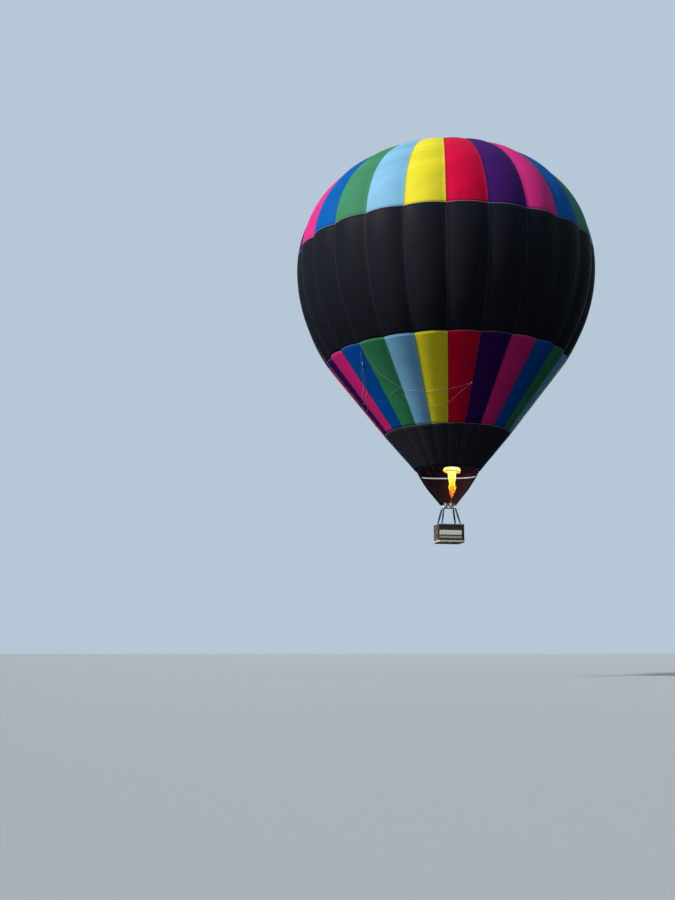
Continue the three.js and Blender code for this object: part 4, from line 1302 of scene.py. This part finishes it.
def rim():
    """The padded rim: a fat suede roll round the top, pinched and laced."""
    width, sides = RIM_WIDTH / 2, 18
    middle = [size + 2 * RIM_OVERHANG - RIM_WIDTH for size in BASKET_SIZE]
    bend = CORNER_RADIUS + RIM_OVERHANG - width
    path = resample(rounded_rectangle(middle, bend, RIM_TOP - RIM_HEIGHT / 2, 10), RIM_POINTS)
    vertices, stitches = [], []
    for k, point in enumerate(path):
        ahead, out = along_and_out(path, k)
        pinch = 1 - RIM_PINCH * (0.5 + 0.5 * math.cos(2 * math.pi * k / PINCH_SPACING)) ** 4
        for spot in circle(1, 0, sides):
            squared = (abs(spot.x) ** 3 + abs(spot.y) ** 3) ** (-1 / 3) * pinch
            up = Vector((0, 0, spot.y * squared * RIM_HEIGHT / 2))
            vertices.append(point + out * (spot.x * squared * width) + up)
        if k % STITCH_SPACING == 0:
            low = point + out * (width * 0.92) - Vector((0, 0, RIM_HEIGHT * 0.40)) + ahead * 0.012
            high = point + out * (width * 1.02) - Vector((0, 0, RIM_HEIGHT * 0.12))
            stitches.append(tube([low, high], 0.0028, 6))
    faces = [(a, d, c, b) for a, b, c, d in loft_faces(len(path), sides, closed=True)]
    pad = make_piece("rim_pad", [(vertices, faces)], suede, "suede", "basket_rim")
    make_piece("rim_lacing", stitches, lace, "suede")


def base_parts():
    """Rawhide band round the foot of the walls, the runners, and the floor's look."""
    size = [side + BAND for side in BASKET_SIZE]
    path = resample(rounded_rectangle(size, CORNER_RADIUS + BAND / 2), BAND_POINTS)
    outs = [along_and_out(path, k)[1] for k in range(len(path))]
    outer, inner = [], []
    for i, h in enumerate(np.linspace(WALL_BOTTOM + BAND_HEIGHT, WALL_BOTTOM, 12)):
        level = Vector((0, 0, h))
        bulge = 0.004 * math.sin(math.pi * i / 11)
        ripples = [bulge + 0.0012 * math.sin(k * 0.9 + i) for k in range(len(path))]
        outer.append([p + out * ripple + level for p, out, ripple in zip(path, outs, ripples)][::-1])
        inner.append([p - out * (BAND / 2 - 0.001) + level for p, out in zip(path, outs)][::-1])
    parts = [grid_shell(outer, inner, closed=True)[:2]]
    make_piece("foot_band", parts, rawhide, "hide", "base_band")
    for name in ("front", "middle", "back"):
        low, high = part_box(f"runner_{name}")
        finish = {"smooth": False, "bevelled": (0.008, 3)}
        make_piece(f"skid_{name}", [box(low, high)], wood, "plywood", f"runner_{name}", **finish)
    floor_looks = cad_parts["basket_floor"].data.materials
    floor_looks.clear()
    floor_looks.append(wood)


def banner():
    """A plain striped banner laced flat to the front wall."""
    low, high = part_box("banner")
    xs = np.linspace(low.x, high.x, 91)
    outer, inner = [], []
    for z in np.linspace(high.z, low.z, 35):
        share = (z - low.z) / (high.z - low.z)
        ripple = 0.004 * np.sin(xs * 14 + share * 3) * math.sin(math.pi * share) + 0.002 * np.sin(xs * 41)
        for side, depth in ((outer, 0.001), (inner, 0.003)):
            side.append(np.column_stack([xs, low.y + depth - np.abs(ripple), np.full(len(xs), z)]))
    look = striped_cloth("banner_print", low.z, high.z)
    parts = [grid_shell(outer, inner)[:2]]
    piece = make_piece("banner_cloth", parts, look, "banner_cloth", "banner")


def fuel_cylinders():
    """Brushed cylinders standing in the corners, each with a guard collar, a valve and two straps."""
    r = CYLINDER_RADIUS
    foot = [(0.0, 0.012), (0.09, 0.006), (0.112, 0.0), (0.128, 0.0), (0.132, 0.02), (r - 0.002, 0.05)]
    bead = [(r - 0.002, 0.40), (r, 0.405), (r, 0.425), (r - 0.002, 0.43)]
    dome = [(r - 0.002, -0.11), (r - 0.010, -0.06), (0.105, -0.028), (0.06, -0.010), (0.028, -0.004),
            (0.024, 0.012), (0.0, 0.012)]
    outline = foot + bead + [(a, CYLINDER_TOP + h) for a, h in dome]
    collar = [(0.082, -0.022), (0.088, -0.022), (0.088, 0.062), (0.085, 0.068), (0.082, 0.062)]
    stem = [(0.0, 0.010), (0.014, 0.010), (0.014, 0.045), (0.0, 0.045)]
    wheel = [(0.0, 0.045), (0.026, 0.047), (0.026, 0.056), (0.0, 0.058)]
    band = [(r - 0.001, -0.02), (r + 0.0025, -0.018), (r + 0.0025, 0.018), (r - 0.001, 0.02)]
    for name in CORNERS:
        low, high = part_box(f"fuel_cylinder_{name}")
        x, y = centre = ((low.x + high.x) / 2, (low.y + high.y) / 2)
        top = low.z + CYLINDER_TOP
        parts = [lathe(outline, 40, centre, low.z), lathe(collar, 40, centre, top)]
        slot, node = "cylinder_steel", f"fuel_cylinder_{name}"
        make_piece(f"cylinder_{name}", parts, cylinder_metal, slot, node)
        parts = [lathe(shape, 16, centre, top) for shape in (stem, wheel)]
        parts.append(tube([(x - 0.03, y, top + 0.03), (x + 0.03, y, top + 0.03)], 0.008, 10))
        make_piece(f"valve_{name}", parts, brass, "burner_brass")
        straps = [lathe(band, 40, centre, low.z + h) for h in (0.24, 0.62)]
        make_piece(f"strap_{name}", straps, black_plastic, "hide")


def strap_handles():
    """Flat hide grips: two on each long wall and one on each end wall, riveted under the rim."""
    grips, rivets = [], []
    places = [(sx * GRIP_X, sy * HALF_BASKET[1], 0, sy) for sx in (-1, 1) for sy in (-1, 1)]
    places += [(sx * HALF_BASKET[0], 0.0, sx, 0) for sx in (-1, 1)]
    half = Vector((0, 0, 0.015))
    for x, y, nx, ny in places:
        side, out = Vector((-ny, nx, 0)), Vector((nx, ny, 0))
        base = Vector((x, y, RIM_TOP - GRIP_DROP))
        outer, inner = [], []
        for t in np.linspace(-1, 1, 25):
            stand = 0.007 + 0.015 * max(0.0, 1 - t * t * 1.5)
            middle = base + side * (GRIP_HALF * t) + out * stand - Vector((0, 0, 0.012 * (1 - t * t)))
            crown = out * 0.001
            row = [middle - half, middle - half * 0.4 + crown, middle + half * 0.4 + crown, middle + half]
            outer.append(row)
            inner.append([point - out * GRIP_THICKNESS for point in row])
        grips.append(grid_shell(outer, inner)[:2])
        for t in (-1, 1):
            spot = base + side * (GRIP_RIVET * t)
            rivets.append(tube([spot - out * GRIP_THICKNESS, spot + out * 0.010], 0.0055, 12))
    make_piece("strap_handles", grips, hide, "hide")
    make_piece("handle_rivets", rivets, brass, "burner_brass")


# Stage

def camera():
    data = bpy.data.cameras.new("camera")
    data.lens = CAMERA_LENS
    data.sensor_width = 36.0
    data.clip_end = 2000.0
    data.dof.use_dof = False
    made = add_object("camera", data)
    away = math.hypot(CAMERA_ALONG, CAMERA_ACROSS)
    azimuth = math.radians(CAMERA_AZIMUTH)
    made.location = (away * math.sin(azimuth), -away * math.cos(azimuth), -CAMERA_BELOW)
    heading = azimuth + math.atan2(CAMERA_ACROSS, CAMERA_ALONG)
    made.rotation_euler = (math.radians(90 + CAMERA_PITCH), 0, heading)
    bpy.context.scene.camera = made


def studio_world():
    """Soft light that fades towards the ground, behind a plain backdrop for the camera."""
    world = bpy.data.worlds.new("studio")
    world.use_nodes = True
    tree = world.node_tree
    split = add_node(tree, "SeparateXYZ", add_node(tree, "TexCoord").outputs["Generated"])
    fade = add_node(tree, "MapRange", split.outputs["Z"], *WORLD_HEIGHTS, *WORLD_STRENGTHS)
    light = tree.nodes["Background"]
    light.inputs["Color"].default_value = (*WORLD_COLOUR, 1)
    tree.links.new(fade.outputs["Result"], light.inputs["Strength"])
    backdrop = add_node(tree, "Background", (*BACKDROP_COLOUR, 1))
    seen = add_node(tree, "LightPath").outputs["Is Camera Ray"]
    mix = add_node(tree, "MixShader", seen, light.outputs["Background"], backdrop.outputs["Background"])
    tree.links.new(mix.outputs["Shader"], tree.nodes["World Output"].inputs["Surface"])
    bpy.context.scene.world = world


def sun(name, azimuth, elevation, energy, spread, colour):
    """A distant lamp, at degrees to the right of the camera and up."""
    data = bpy.data.lights.new(name, "SUN")
    data.energy = energy
    data.angle = math.radians(spread)
    data.color = colour
    lamp = add_object(name, data)
    side = math.radians(CAMERA_AZIMUTH + azimuth)
    level = math.cos(math.radians(elevation))
    toward = Vector((math.sin(side) * level, -math.cos(side) * level, math.sin(math.radians(elevation))))
    lamp.rotation_euler = toward.to_track_quat("Z", "Y").to_euler()


def floor_and_lights():
    bpy.context.scene.view_settings.view_transform = "Standard"
    data = bpy.data.meshes.new("floor")
    level = -CAMERA_BELOW - EYE_HEIGHT
    data.from_pydata([(sx * FLOOR_HALF, sy * FLOOR_HALF, level) for sx, sy in QUARTERS], [], [(0, 1, 2, 3)])
    data.materials.append(Look("floor_paint", FLOOR_COLOUR, 0.9, Specular_IOR_Level=0.1).material)
    floor = add_object("floor", data)
    floor.visible_diffuse = False
    floor.visible_glossy = False
    studio_world()
    for name, settings in LAMPS.items():
        sun(name, *settings)


camera()
floor_and_lights()
envelope()
load_tapes()
parachute()
crown()
mouth_hem()
scoop()
flying_wires()
vent_lines()
burner_frame()
burner_block()
burner_can("left", -CAN_X)
burner_can("right", CAN_X)
flame()
uprights()
basket_walls()
rim()
base_parts()
banner()
fuel_cylinders()
strap_handles()
